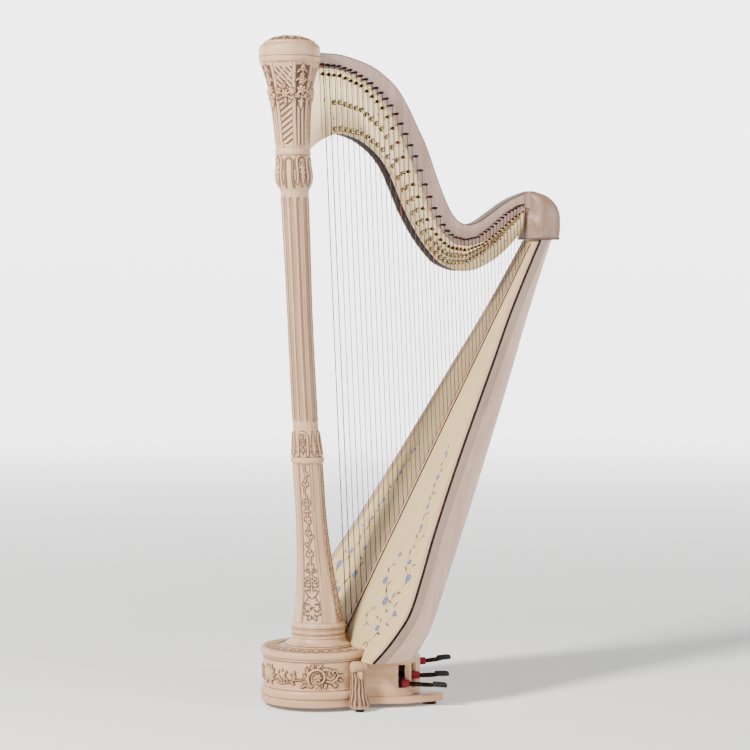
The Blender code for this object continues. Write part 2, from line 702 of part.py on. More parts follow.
def nut_rods():
    """The bridge nuts, one beside each string."""
    rods = []
    for k in range(STRINGS):
        x, z = meet(k, NUT_LINE)
        radius = 0.0018 if k < 30 else 0.0013
        x += radius + string_radius(k) + 0.0004
        rods.append(((x, 0.0105, z), (x, -0.0045, z), radius, 4))
    return rods


def fixed_disc_rods():
    """The discs that are drawn at rest only, as short round bosses on the plate."""
    rods = []
    for k in range(FIRST_DISC + len(MOVING_DISCS), STRINGS - 1):
        for kind, part, full in DISC_ROWS:
            z = disc_height(k, part)
            x = string_x(k, z)
            rods.append(((x, 0.0105, z), (x, 0.0045, z), disc_radius(k), 6))
    return rods


def shoulder_rings():
    """Level rings of the shoulder, which widens from the neck to the soundbox."""
    rings = []
    for z, front, near_front, near, back in (
        (1.3034, 0.7120, -0.0440, -0.0460, 0.8060), (1.3130, 0.7120, -0.0440, -0.0465, 0.8085),
        (1.3430, 0.7120, -0.0400, -0.0465, 0.8120), (1.3600, 0.7120, -0.0200, -0.0460, 0.8125),
        (1.3900, 0.7120, -0.0060, -0.0440, 0.8080), (1.4170, 0.7120, 0.0040, -0.0380, 0.7920),
        (1.4350, 0.7120, 0.0100, -0.0240, 0.7700), (1.4420, 0.7120, 0.0125, -0.0060, 0.7560),
        (1.4465, 0.7240, 0.0200, 0.0160, 0.7420),
    ):
        far = 0.0500 - max(0.0, z - 1.44) * 2.0
        mid = front + (back - front) * 0.42
        rings.append([
            (front, far, z), (front, near_front, z),
            (front + (mid - front) * 0.5, near_front * 0.5 + near * 0.5, z),
            (mid, near, z), (back - (back - mid) * 0.35, near, z), (back - 0.004, near * 0.6, z),
            (back, near * 0.3 + far * 0.3, z), (back - 0.004, far * 0.75, z),
            (back - (back - mid) * 0.35, far, z),
        ])
    return rings


def make_discs(parts, tools):
    """The forked discs of one octave, turned to match their pedals."""
    rest = {name: (angle + HALF_STEP) / (2 * HALF_STEP) for name, _, _, _, _, angle in PEDALS}
    for number, name in enumerate(MOVING_DISCS):
        k = FIRST_DISC + number
        for kind, part, full in DISC_ROWS:
            z = disc_height(k, part)
            x = string_x(k, z)
            obj = forked_disc(f"disc_{kind}_{name}", disc_radius(k), parts, tools)
            turn = Matrix.Rotation(math.radians(full) * rest[name], 4, "Y")
            obj.data.transform(turn)
            obj.location = (x + SHIFT_X, 0.0, z)


def forked_disc(name, radius, parts, tools):
    """One disc around the origin, its two pins on a level line."""
    obj = bar(name, (0.0, 0.0090, 0.0), (0.0, 0.0052, 0.0), radius, 10, parts, "brass")
    pins = []
    for x in (-0.0046, 0.0046):
        pins.append(((x, 0.0070, 0.0), (x, -0.0042, 0.0), 0.0009, 5))
    join(obj, many("fork", pins, tools))
    return obj


def bar_rings(stations):
    """Rectangular rings of a flat bar along stations of (x, y, width, height, rise)."""
    rings = []
    for i, (x, y, width, height, rise) in enumerate(stations):
        a = stations[max(i - 1, 0)]
        b = stations[min(i + 1, len(stations) - 1)]
        along = Vector((b[0] - a[0], b[1] - a[1])).normalized()
        side = Vector((-along.y, along.x)) * width / 2
        z = HINGE[1] + rise
        rings.append([
            (x - side.x, y - side.y, z - height / 2), (x + side.x, y + side.y, z - height / 2),
            (x + side.x, y + side.y, z + height / 2), (x - side.x, y - side.y, z + height / 2),
        ])
    return rings


def make_pedals(parts, tools):
    """The seven pedals: an eye on the rail, a flat bar, a felt sleeve and a rubber toe."""
    for name, row, bend, slot, tip, rest in PEDALS:
        slot = Vector(slot)
        tip = Vector(tip)
        inner = (slot - Vector((bend, row))).normalized()
        stations = [
            (HINGE[0] - 0.0085, row, 0.0034, 0.016, 0.0), (HINGE[0] + 0.0085, row, 0.0034, 0.016, 0.0),
            (HINGE[0] + 0.012, row, 0.0034, 0.011, 0.0), (bend, row, 0.0034, 0.011, 0.0),
        ]
        for at, width, height in ((-0.0300, 0.0070, 0.0110), (-0.0044, 0.0080, 0.0110),
                                  (-0.0040, 0.0160, 0.0205), (0.0170, 0.0160, 0.0205)):
            place = slot + inner * at
            stations.append((place.x, place.y, width, height, 0.0))
        elbow = slot + inner * 0.0200
        way = (tip - elbow).normalized()
        length = (tip - elbow).length
        for at, width, height, rise in (
            (0.0, 0.0110, 0.0120, 0.0), (length * 0.35, 0.0120, 0.0130, 0.0),
            (length - 0.0400, 0.0100, 0.0100, 0.0), (length - 0.0396, 0.0150, 0.0150, 0.0030),
            (length - 0.0060, 0.0170, 0.0150, 0.0020), (length, 0.0120, 0.0100, 0.0),
        ):
            place = elbow + way * at
            stations.append((place.x, place.y, width, height, rise))
        obj = loft("pedal_" + name, bar_rings(stations), parts, "bronze")
        cut(obj, bar("eye", (HINGE[0], -0.05, HINGE[1]), (HINGE[0], 0.05, HINGE[1]), 0.0034, 12, tools))
        pivot = Vector((HINGE[0], 0.0, HINGE[1]))
        obj.data.transform(Matrix.Translation(-pivot))
        obj.data.transform(Matrix.Rotation(math.radians(rest), 4, "Y"))
        obj.location = (HINGE[0] + SHIFT_X, 0.0, HINGE[1])


def rod_drop(rest):
    """How far a pedal at an angle has pulled its rod down."""
    return (BORE_FOOT[0] - HINGE[0]) * math.sin(math.radians(rest))


def make_linkage(parts, tools):
    """The seven rods in the column and the bell cranks at its head."""
    for name, row, bend, slot, tip, rest in PEDALS:
        drop = rod_drop(rest)
        foot = HINGE[1] + 0.0055 + 0.0008 - drop
        top = ROD_TOP - drop
        x0 = bore_point(foot)[0]
        x1 = bore_point(top)[0]
        bar("pedal_rod_" + name, (x0, row, foot), (x1, row, top), ROD_R, 6, parts, "steel")
        pivot = Vector((CRANK_PIVOT[0], row, CRANK_PIVOT[1]))
        crank = side_prism("bell_crank_" + name, [
            (-0.0190, -0.0032), (0.0050, -0.0050), (0.0050, 0.0060), (0.0030, 0.0300), (-0.0030, 0.0300),
            (-0.0050, 0.0060), (-0.0190, 0.0020),
        ], -0.0016, 0.0016, parts, "steel")
        cut(crank, bar("eye", (0.0, -0.01, 0.0), (0.0, 0.01, 0.0), 0.0024, 10, tools))
        crank.data.transform(Matrix.Rotation(math.radians(CRANK_GEAR * rest), 4, "Y"))
        crank.location = (pivot.x + SHIFT_X, pivot.y, pivot.z)
    bar("crank_shaft", (CRANK_PIVOT[0], -0.0362, CRANK_PIVOT[1]), (CRANK_PIVOT[0], 0.0362, CRANK_PIVOT[1]),
        0.0020, 10, parts, "steel")


def settle(parts):
    """Moves the whole harp so that it is centred, and rounds the shading."""
    for obj in parts.objects:
        if obj.location.length < 1e-9:
            obj.data.transform(Matrix.Translation((SHIFT_X, 0.0, 0.0)))
        for face in obj.data.polygons:
            face.use_smooth = True
        obj.data.set_sharp_from_angle(angle=math.radians(40))


def main():
    """Builds every part of the harp."""
    clear_scene()
    parts = collection("concert_harp")
    tools = collection("cutters", hidden=True)
    make_column(parts, tools)
    make_base(parts, tools)
    make_soundbox(parts, tools)
    make_strings(parts, tools)
    make_neck(parts, tools)
    make_discs(parts, tools)
    make_pedals(parts, tools)
    make_linkage(parts, tools)
    settle(parts)


main()
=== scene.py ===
"""Looks of the concert pedal harp: carved pale wood, painted soundboard, strings, brass action and pedals.

Depths along X are written from the column's foot, as the maker measures them, and moved by SHIFT into the
row frame. The neck lies on +Y of the strings, and the player sits at +X.
"""

import math

import bmesh
import bpy
import numpy as np
from mathutils import Matrix, Vector


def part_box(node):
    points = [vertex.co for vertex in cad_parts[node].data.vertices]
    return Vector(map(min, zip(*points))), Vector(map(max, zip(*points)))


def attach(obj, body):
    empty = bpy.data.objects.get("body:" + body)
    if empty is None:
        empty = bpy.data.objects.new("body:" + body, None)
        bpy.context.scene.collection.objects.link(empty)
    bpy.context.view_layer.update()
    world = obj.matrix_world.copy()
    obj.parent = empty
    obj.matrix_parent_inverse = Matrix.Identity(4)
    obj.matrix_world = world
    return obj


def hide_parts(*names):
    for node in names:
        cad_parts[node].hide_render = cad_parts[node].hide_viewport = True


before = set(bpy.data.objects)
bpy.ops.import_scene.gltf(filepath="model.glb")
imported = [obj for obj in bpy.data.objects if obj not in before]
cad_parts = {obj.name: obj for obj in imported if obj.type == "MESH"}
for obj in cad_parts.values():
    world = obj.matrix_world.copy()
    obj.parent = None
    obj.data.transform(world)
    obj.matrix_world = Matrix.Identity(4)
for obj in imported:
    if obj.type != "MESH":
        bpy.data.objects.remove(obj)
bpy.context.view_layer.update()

ROOT = "frame"
CRANK_DEPTH = -0.0670
SHIFT = (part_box("crank_shaft")[0].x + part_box("crank_shaft")[1].x) / 2 - CRANK_DEPTH

# Column: height, centre depth.
COLUMN_LINE = [
    (0.100, 0.004), (0.230, 0.003), (0.300, 0.000), (0.518, -0.0184), (0.692, -0.031), (0.995, -0.0495),
    (1.245, -0.0613), (1.480, -0.0728), (1.791, -0.0857), (1.900, -0.0857),
]

# Soundboard plane, and the soundbox's half width and depth along it.
BOARD_FOOT = (0.095, 0.210)
BOARD_LEAN = math.radians(30.0)
BOARD_THICK = 0.005
BOARD_HALF = [
    (-0.120, 0.190), (-0.078, 0.221), (-0.026, 0.251), (0.036, 0.273), (0.070, 0.279), (0.109, 0.274),
    (0.196, 0.250), (0.317, 0.214), (0.538, 0.162), (0.865, 0.100), (1.020, 0.070), (1.180, 0.051),
    (1.300, 0.042), (1.400, 0.040),
]
BOX_DEPTH = [
    (-0.120, 0.180), (0.100, 0.178), (0.300, 0.174), (0.450, 0.165), (0.600, 0.150), (0.800, 0.126),
    (1.000, 0.098), (1.200, 0.068), (1.300, 0.054), (1.400, 0.045),
]
BOX_WALL = 0.008
BOX_FOOT_Z = 0.1345
SHOULDER_Z = 1.303
SOUND_HOLES = [
    (0.22, 0.050, 0.060), (0.40, 0.046, 0.056), (0.58, 0.041, 0.052), (0.75, 0.034, 0.046), (0.91, 0.027, 0.040),
]

# Neck and plates: depth and height of their edges.
NECK_TOP = [
    (-0.060, 1.822), (0.023, 1.822), (0.074, 1.821), (0.120, 1.813), (0.187, 1.792), (0.238, 1.762),
    (0.278, 1.726), (0.311, 1.678), (0.338, 1.630), (0.369, 1.573), (0.418, 1.456), (0.451, 1.390),
    (0.478, 1.359), (0.506, 1.348), (0.545, 1.355), (0.598, 1.386), (0.655, 1.420), (0.7115, 1.442),
]
NECK_LOW = [
    (-0.060, 1.500), (-0.030, 1.536), (-0.012, 1.556), (0.021, 1.580), (0.064, 1.597), (0.086, 1.599),
    (0.119, 1.592), (0.152, 1.579), (0.201, 1.545), (0.237, 1.502), (0.266, 1.445), (0.299, 1.378),
    (0.350, 1.301), (0.406, 1.242), (0.435, 1.227), (0.469, 1.216), (0.498, 1.213), (0.536, 1.218),
    (0.574, 1.233), (0.612, 1.254), (0.650, 1.283), (0.687, 1.318), (0.7115, 1.343),
]
PLATE_TOP = [
    (-0.060, 1.779), (0.022, 1.779), (0.080, 1.776), (0.132, 1.761), (0.181, 1.732), (0.223, 1.692),
    (0.252, 1.655), (0.281, 1.597), (0.318, 1.524), (0.351, 1.451), (0.376, 1.396), (0.399, 1.356),
    (0.428, 1.318), (0.460, 1.293), (0.498, 1.285), (0.543, 1.291), (0.592, 1.314), (0.640, 1.346),
    (0.7065, 1.398),
]
NECK_Y = (0.0125, 0.0500)
PLATE_LEFT_Y = (0.0095, 0.0121)
PLATE_RIGHT_Y = (0.0504, 0.0530)

# Strings.
STRINGS = 47
SPACING = (0.03425, 0.000239, 1.49e-6)
STRING_LEAN = 0.0472
WOUND = 12
NOTES = "CDEFGAB"
NUT_LINE = [
    (0.000, 1.765), (0.077, 1.760), (0.146, 1.735), (0.209, 1.683), (0.241, 1.637), (0.266, 1.580),
    (0.304, 1.489), (0.340, 1.412), (0.376, 1.340), (0.413, 1.301), (0.444, 1.281), (0.501, 1.273),
    (0.557, 1.291), (0.613, 1.326), (0.672, 1.371), (0.700, 1.388),
]
PIN_LINE = [
    (0.000, 1.790), (0.073, 1.786), (0.123, 1.773), (0.173, 1.747), (0.220, 1.711), (0.254, 1.673),
    (0.291, 1.612), (0.329, 1.539), (0.360, 1.463), (0.389, 1.399), (0.430, 1.334), (0.457, 1.312),
    (0.498, 1.303), (0.542, 1.311), (0.587, 1.338), (0.645, 1.382), (0.689, 1.404), (0.720, 1.410),
]
PIN_R = 0.0030
DISC_ROWS = (("natural", 0.0510, 64.0), ("sharp", 0.1010, 58.0))
FIRST_DISC = 2

# Base.
DRUM_R = 0.160
BASE_Z = (0.0340, 0.1650)
PEDAL_BOX_TOP = 0.1340
PEDAL_BOX = [
    (0.000, -0.130), (0.035, -0.1490), (0.060, -0.1510), (0.087, -0.1570), (0.120, -0.1720),
    (0.158, -0.1890), (0.190, -0.1905), (0.220, -0.1760), (0.248, -0.1480), (0.270, -0.1080),
    (0.284, -0.0560), (0.288, 0.0),
]
BOARD_OUTLINE = [
    (-0.158, 0.0), (-0.146, -0.061), (-0.112, -0.112), (-0.061, -0.146), (0.0, -0.157), (0.060, -0.157),
    (0.090, -0.162), (0.125, -0.178), (0.165, -0.195), (0.205, -0.202), (0.250, -0.206), (0.284, -0.207),
    (0.296, -0.198), (0.300, -0.182), (0.297, -0.160), (0.290, -0.130), (0.289, -0.090), (0.295, -0.045),
    (0.298, 0.0),
]
BOARD_Z = (0.0120, 0.0335)

# Pedals: name, row at the rods, bend depth, slot (depth, side), tip (depth, side), rest angle in degrees.
HINGE = (-0.0850, 0.0885)
HALF_STEP = 4.35
PEDALS = [
    ("D", -0.015, 0.012, (0.169, -0.190), (0.274, -0.249), HALF_STEP),
    ("C", -0.010, 0.030, (0.204, -0.185), (0.296, -0.222), 0.0),
    ("B", -0.005, 0.048, (0.262, -0.126), (0.350, -0.148), -HALF_STEP),
    ("E", 0.000, 0.060, (0.279, 0.075), (0.372, 0.094), -HALF_STEP),
    ("F", 0.005, 0.048, (0.262, 0.126), (0.350, 0.148), -HALF_STEP),
    ("G", 0.010, 0.030, (0.204, 0.185), (0.296, 0.222), -HALF_STEP),
    ("A", 0.015, 0.012, (0.169, 0.190), (0.274, 0.249), -HALF_STEP),
]

# Camera: place in the row frame, turn, lens on a 36 mm sensor.
CAMERA_PLACE = (-3.8064, -6.1161, 1.2560)
CAMERA_TURN = (87.296, 0.0, -31.0)
CAMERA_LENS = 120.96


# ---------------------------------------------------------------- curves and tables

def between(table, at):
    """The value of a table of (place, value) at a place, in straight lines."""
    places, values = zip(*table)
    return np.interp(at, places, values)


def rounded(points, count, closed=False):
    """Evenly spread points on a smooth curve through points."""
    p = np.array(points, float)
    if closed:
        p = np.vstack([p[-1], p, p[:2]])
    else:
        p = np.vstack([2 * p[0] - p[1], p, 2 * p[-1] - p[-2]])
    dense = []
    for i in range(1, len(p) - 2):
        t = np.linspace(0.0, 1.0, 24, endpoint=False)[:, None]
        a, b, c, d = p[i - 1], p[i], p[i + 1], p[i + 2]
        gap = np.linalg.norm(c - b)
        m0 = (c - a) * gap / max(np.linalg.norm(b - a) + gap, 1e-9)
        m1 = (d - b) * gap / max(np.linalg.norm(d - c) + gap, 1e-9)
        t2, t3 = t * t, t * t * t
        dense.append((2 * t3 - 3 * t2 + 1) * b + (t3 - 2 * t2 + t) * m0 + (3 * t2 - 2 * t3) * c
                     + (t3 - t2) * m1)
    dense.append(p[-2][None, :])
    dense = np.vstack(dense)
    walked = np.concatenate([[0.0], np.cumsum(np.linalg.norm(np.diff(dense, axis=0), axis=1))])
    wanted = np.linspace(0.0, walked[-1], count + 1 if closed else count)
    out = np.stack([np.interp(wanted, walked, dense[:, k]) for k in range(dense.shape[1])], axis=1)
    return out[:-1] if closed else out


def smooth_table(table, at):
    """The value of a table of (place, value), on a smooth curve through its rows."""
    curve = rounded(table, 400)
    return np.interp(at, curve[:, 0], curve[:, 1])


def centre(z):
    """Depth of the column's centre at a height."""
    return smooth_table(COLUMN_LINE, z)


def board_point(s, y=0.0, depth=0.0):
    """A point of the soundboard's frame: along it, sideways, and behind its face."""
    sin, cos = math.sin(BOARD_LEAN), math.cos(BOARD_LEAN)
    return np.stack(np.broadcast_arrays(
        BOARD_FOOT[0] + s * sin + depth * cos, y, BOARD_FOOT[1] + s * cos - depth * sin), axis=-1)


# ---------------------------------------------------------------- mesh making

def finish_mesh(name, points, faces, materials, body=ROOT, slot=None, smooth=40.0, carve=None, ride=True):
    """A mesh object in the row frame, from points in the maker's depths."""
    mesh = bpy.data.meshes.new(name)
    points = np.asarray(points, float).reshape(-1, 3) + (SHIFT, 0.0, 0.0)
    mesh.from_pydata(points.tolist(), [], [tuple(f) for f in faces])
    # Painted shade per point, kept as an attribute: darkest in carved hollows, flutes and cut lines.
    if carve is not None:
        mesh.attributes.new("carve", "FLOAT", "POINT").data.foreach_set("value", np.ravel(carve))
    shape = bmesh.new()
    shape.from_mesh(mesh)
    bmesh.ops.recalc_face_normals(shape, faces=shape.faces)
    shape.to_mesh(mesh)
    shape.free()
    for face in mesh.polygons:
        face.use_smooth = True
    mesh.set_sharp_from_angle(angle=math.radians(smooth))
    obj = bpy.data.objects.new(name, mesh)
    bpy.context.scene.collection.objects.link(obj)
    for material in materials if isinstance(materials, (list, tuple)) else [materials]:
        mesh.materials.append(material)
    if ride:
        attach(obj, body)
    return obj


def grid_faces(rows, columns, closed=True, first=0):
    """Faces between rows of points; a closed row joins its last point to its first."""
    low = first + np.arange(rows - 1)[:, None] * columns
    this = np.arange(columns if closed else columns - 1)[None, :]
    that = (this + 1) % columns
    faces = np.stack([low + this, low + that, low + columns + that, low + columns + this], axis=-1)
    return faces.reshape(-1, 4).tolist()


def tube_data(rings, capped=True, first=0):
    """Points and faces of a closed skin through rings of equally many points."""
    rings = np.asarray(rings, float)
    rows, columns = rings.shape[:2]
    faces = grid_faces(rows, columns, True, first)
    if capped:
        faces.append([first + i for i in range(columns)][::-1])
        faces.append([first + (rows - 1) * columns + i for i in range(columns)])
    return rings.reshape(-1, 3), faces


class Pieces:
    """Several closed skins gathered into one mesh."""

    def __init__(self):
        self.points = []
        self.faces = []
        self.marks = []
        self.count = 0

    def add(self, rings, capped=True, mark=0):
        """Adds a skin through rings; mark picks its material."""
        points, faces = tube_data(rings, capped, self.count)
        self.points.append(points)
        self.faces += faces
        self.marks += [mark] * len(faces)
        self.count += len(points)

    def object(self, name, materials, **options):
        """The mesh object of all the skins."""
        obj = finish_mesh(name, np.vstack(self.points), self.faces, materials, **options)
        if any(self.marks):
            obj.data.polygons.foreach_set("material_index", self.marks)
        return obj


def circle(middle, axis, radius, sides=12, across=None):
    """A ring of points around a middle, square to an axis."""
    axis = Vector(axis).normalized()
    side = Vector(across) if across else axis.orthogonal()
    side = (side - axis * side.dot(axis)).normalized()
    other = axis.cross(side)
    turn = 2 * math.pi * (np.arange(sides) + 0.5) / sides
    ring = np.outer(np.cos(turn), side) + np.outer(np.sin(turn), other)
    return np.array(middle, float) + ring * radius


def turned(foot, axis, profile, sides=16, across=None):
    """Rings of a turned shape: its profile is (distance along the axis, radius)."""
    axis = Vector(axis).normalized()
    foot = Vector(foot)
    return [circle(foot + axis * at, axis, max(r, 1e-5), sides, across) for at, r in profile]


def pipe(path, radius, sides=8):
    """Rings of a round bar along a path of points."""
    path = [Vector(p) for p in path]
    rings = []
    for i, point in enumerate(path):
        along = path[min(i + 1, len(path) - 1)] - path[max(i - 1, 0)]
        r = radius[i] if isinstance(radius, (list, tuple, np.ndarray)) else radius
        rings.append(circle(point, along, r, sides, (0.013, 1.0, 0.007)))
    return rings


def plan_prism(outline, low, high):
    """Rings of a solid with a plan outline between two heights."""
    outline = np.asarray(outline)
    return [np.column_stack([outline, np.full(len(outline), z)]) for z in (low, high)]


def side_prism(outline, left, right):
    """Rings of a solid with an outline of depth and height between two sideways places."""
    outline = np.asarray(outline)
    return [np.column_stack([outline[:, 0], np.full(len(outline), y), outline[:, 1]]) for y in (left, right)]


def bevel(obj, width, segments=3, angle=35.0):
    """Rounds an object's edges and keeps the result."""
    modifier = obj.modifiers.new("Bevel", "BEVEL")
    modifier.width = width
    modifier.segments = segments
    modifier.limit_method = "ANGLE"
    modifier.angle_limit = math.radians(angle)
    modifier.harden_normals = False
    keep_modifiers(obj)


def keep_modifiers(obj):
    """Replaces an object's mesh by what its modifiers make of it."""
    graph = bpy.context.evaluated_depsgraph_get()
    mesh = bpy.data.meshes.new_from_object(obj.evaluated_get(graph))
    obj.modifiers.clear()
    old = obj.data
    obj.data = mesh
    bpy.data.meshes.remove(old)


def cut(obj, rings):
    """Takes a solid given by rings out of an object."""
    cutter = finish_mesh("cutter", *tube_data(rings), [], ride=False)
    modifier = obj.modifiers.new("Cut", "BOOLEAN")
    modifier.solver = "EXACT"
    modifier.operation = "DIFFERENCE"
    modifier.object = cutter
    keep_modifiers(obj)
    mesh = cutter.data
    bpy.data.objects.remove(cutter)
    bpy.data.meshes.remove(mesh)


def shade(obj, angle=40.0):
    """Smooth shading with sharp edges over an angle."""
    for face in obj.data.polygons:
        face.use_smooth = True
    obj.data.set_sharp_from_angle(angle=math.radians(angle))


# ---------------------------------------------------------------- carving

def ridge(distance, width):
    """Height from 0 to 1 of a rounded ridge."""
    return np.sqrt(np.clip(1.0 - (distance / width) ** 2, 0.0, 1.0))


def arc(u, v, radius, start, end, count=14, shrink=1.0):
    """Points along an arc or, where shrink is not 1, a spiral; angles in degrees."""
    turn = np.radians(np.linspace(start, end, count))
    r = radius * np.linspace(1.0, shrink, count)
    return list(zip(u + r * np.cos(turn), v + r * np.sin(turn)))


class Relief:
    """Raised carving on a surface, from places u across it and v along it, in metres."""

    def __init__(self, u, v):
        self.u, self.v = np.broadcast_arrays(u, v)
        self.height = np.zeros(self.u.shape)

    def add(self, height):
        """Keeps whichever is higher."""
        self.height = np.maximum(self.height, height)

    def stem(self, points, width, height, tip=1.0):
        """A rounded stem through points; its end is tip times as wide."""
        last = len(points) - 1
        for i, (a, b) in enumerate(zip(points, points[1:])):
            du, dv = b[0] - a[0], b[1] - a[1]
            t = ((self.u - a[0]) * du + (self.v - a[1]) * dv) / (du * du + dv * dv + 1e-12)
            t = np.clip(t, 0.0, 1.0)
            away = np.hypot(self.u - a[0] - t * du, self.v - a[1] - t * dv)
            thick = width / 2 * (1 - (1 - tip) * (i + t) / last)
            self.add(height * ridge(away, thick))

    def leaf(self, u, v, angle, length, width, height, lobes=0, bend=0.0):
        """A leaf from its stalk along an angle in degrees, with a vein and, if asked, a lobed edge."""
        c, s = math.cos(math.radians(angle)), math.sin(math.radians(angle))
        x = ((self.u - u) * c + (self.v - v) * s) / length
        y = (self.v - v) * c - (self.u - u) * s - bend * length * x * x
        inside = (x > 0.0) & (x < 1.0)
        x = np.clip(x, 0.0, 1.0)
        edge = np.sin(np.pi * x ** 0.8)
        if lobes:
            edge = edge * (0.80 + 0.20 * np.cos(2 * np.pi * lobes * x))
        top = ridge(y, np.maximum(width / 2 * edge, 1e-5))
        vein = 1.0 - 0.55 * np.exp(-(y / (0.07 * width)) ** 2)
        self.add(np.where(inside, height * top * vein * (0.75 + 0.25 * x), 0.0))

    def flower(self, u, v, radius, height, petals=5, turn=0.0):
        """An open flower with a round heart."""
        du, dv = self.u - u, self.v - v
        away = np.hypot(du, dv)
        swing = np.abs(np.cos(petals * (np.arctan2(dv, du) + turn) / 2))
        edge = radius * (0.62 + 0.38 * swing)
        self.add(height * ridge(away - 0.58 * edge, 0.42 * edge) * (0.45 + 0.55 * swing))
        self.add(height * 1.1 * ridge(away, 0.26 * radius))

    def berry(self, u, v, radius, height):
        """A round boss."""
        self.add(height * ridge(np.hypot(self.u - u, self.v - v), radius))

    def acanthus(self, u, v, angle, length, width, height, curl=0.15):
        """A broad leaf with side lobes on a mid rib."""
        c, s = math.cos(math.radians(angle)), math.sin(math.radians(angle))
        for part, spread, share in ((0.05, 58, 0.50), (0.25, 48, 0.52), (0.45, 38, 0.45), (0.62, 28, 0.36)):
            for side in (-1, 1):
                at = (u + c * length * part, v + s * length * part)
                self.leaf(at[0], at[1], angle + side * spread, width * share * 1.15, width * 0.24,
                          height * 0.85, bend=-side * curl)
        self.leaf(u, v, angle, length, width * 0.34, height)
        self.stem([(u, v), (u + c * length * 0.9, v + s * length * 0.9)], width * 0.08, height * 1.1, 0.3)


def groove(away, width):
    """Depth from 0 to 1 of a fine cut line."""
    return np.exp(-(away / width) ** 2)


def hollow_mark(height, low, high):
    """How deep in shadow a carved place lies, from 0 on top to 1 in the ground."""
    return np.clip((high - height) / (high - low), 0.0, 1.0)


# ---------------------------------------------------------------- materials

class Shader:
    """A node material with a Principled shader and short ways to add nodes."""

    def __init__(self, name, roughness=0.5, metallic=0.0, **constants):
        self.material = bpy.data.materials.new(name)
        self.material.use_nodes = True
        self.tree = self.material.node_tree
        self.surface = self.tree.nodes["Principled BSDF"]
        self.set(self.surface, "Roughness", roughness)
        self.set(self.surface, "Metallic", metallic)
        for key, value in constants.items():
            self.set(self.surface, key.replace("_", " "), value)

    def set(self, node, socket, value):
        """Sets a socket to a number or colour, or links it to another node's output."""
        if isinstance(value, bpy.types.NodeSocket):
            self.tree.links.new(value, node.inputs[socket])
        elif isinstance(value, tuple) and len(value) == 3 and node.inputs[socket].type == "RGBA":
            node.inputs[socket].default_value = (*value, 1.0)
        else:
            node.inputs[socket].default_value = value

    def node(self, kind, output, **inputs):
        """A node of a kind with its inputs set, as the wanted output."""
        made = self.tree.nodes.new(kind)
        for key, value in inputs.items():
            if key.startswith("_"):
                setattr(made, key[1:], value)
        for key, value in inputs.items():
            if not key.startswith("_"):
                self.set(made, key.replace("_", " "), value)
        return made.outputs[output]

    def place(self, stretch=(1.0, 1.0, 1.0), turn=(0.0, 0.0, 0.0)):
        """Places on the object, turned and then stretched."""
        spot = self.node("ShaderNodeTexCoord", "Object")
        if any(turn):
            spot = self.node("ShaderNodeMapping", "Vector", Vector=spot,
                             Rotation=tuple(math.radians(t) for t in turn))
        return self.node("ShaderNodeMapping", "Vector", Vector=spot, Scale=stretch)

    def noise(self, place, scale, detail=4.0, roughness=0.55, distortion=0.0):
        """A noise from 0 to 1."""
        return self.node("ShaderNodeTexNoise", "Fac", Vector=place, Scale=scale, Detail=detail,
                         Roughness=roughness, Distortion=distortion)

    def ramp(self, factor, stops):
        """A colour ramp with (place, colour) stops."""
        made = self.tree.nodes.new("ShaderNodeValToRGB")
        self.tree.links.new(factor, made.inputs["Fac"])
        elements = made.color_ramp.elements
        elements[0].position, elements[0].color = stops[0][0], (*stops[0][1], 1.0)
        elements[1].position, elements[1].color = stops[-1][0], (*stops[-1][1], 1.0)
        for at, colour in stops[1:-1]:
            elements.new(at).color = (*colour, 1.0)
        return made.outputs["Color"]

    def mix(self, factor, first, second, blend="MIX"):
        """Two colours mixed."""
        made = self.tree.nodes.new("ShaderNodeMix")
        made.data_type = "RGBA"
        made.blend_type = blend
        for index, value in ((0, factor), (6, first), (7, second)):
            socket = made.inputs[index]
            if isinstance(value, bpy.types.NodeSocket):
                self.tree.links.new(value, socket)
            else:
                socket.default_value = (*value, 1.0) if isinstance(value, tuple) else value
        return made.outputs[2]

    def scaled(self, value, low, high):
        """A 0 to 1 value spread between two numbers."""
        return self.node("ShaderNodeMapRange", "Result", Value=value, To_Min=low, To_Max=high)

    def shadow(self, strength):
        """How deep a place lies in carved shadow, times a strength."""
        carve = self.node("ShaderNodeAttribute", "Fac", _attribute_name="carve")
        return self.node("ShaderNodeMapRange", "Result", Value=carve, From_Max=0.72, To_Min=0.0, To_Max=strength)

    def bump(self, height, strength, distance):
        """Bump from a height."""
        normal = self.node("ShaderNodeBump", "Normal", Height=height, Strength=strength, Distance=distance)
        self.set(self.surface, "Normal", normal)

    def colour(self, value):
        """Sets the base colour and gives the material back."""
        self.set(self.surface, "Base Color", value)
        return self.material


def wood(name, light, dark, along=(9.0, 9.0, 0.9), turn=(0.0, 0.0, 0.0), hollow_shade=(0.062, 0.027, 0.012),
         roughness=(0.36, 0.50), figure=0.35, shine=0.30):
    """Satin varnished wood: drifting grain, fine fibres, cross figure, and painted shade that darkens carved hollows.
    """
    s = Shader(name)
    s.set(s.surface, "Specular IOR Level", shine)
    place = s.place(along, turn)
    drift = s.noise(place, 3.2, 5.0, 0.6, 0.9)
    base = s.ramp(drift, [(0.30, dark), (0.52, tuple((a + b) / 2 for a, b in zip(light, dark))), (0.70, light)])
    fibre = s.noise(s.place(tuple(a * 26 for a in along), turn), 3.0, 3.0, 0.7)
    base = s.mix(s.scaled(fibre, 0.0, 0.22), base, dark, "MIX")
    flame = s.noise(s.place(tuple(60.0 / a for a in along), turn), 2.4, 3.0, 0.5, 0.4)
    base = s.mix(s.scaled(flame, 0.0, figure), base, tuple(c * 1.12 for c in light), "SOFT_LIGHT")
    # Painted shade: carved hollows and cut lines are mixed towards a dark brown.
    base = s.mix(s.shadow(0.95), base, hollow_shade)
    s.set(s.surface, "Roughness", s.scaled(drift, *roughness))
    s.bump(fibre, 0.12, 0.0004)
    return s.colour(base)


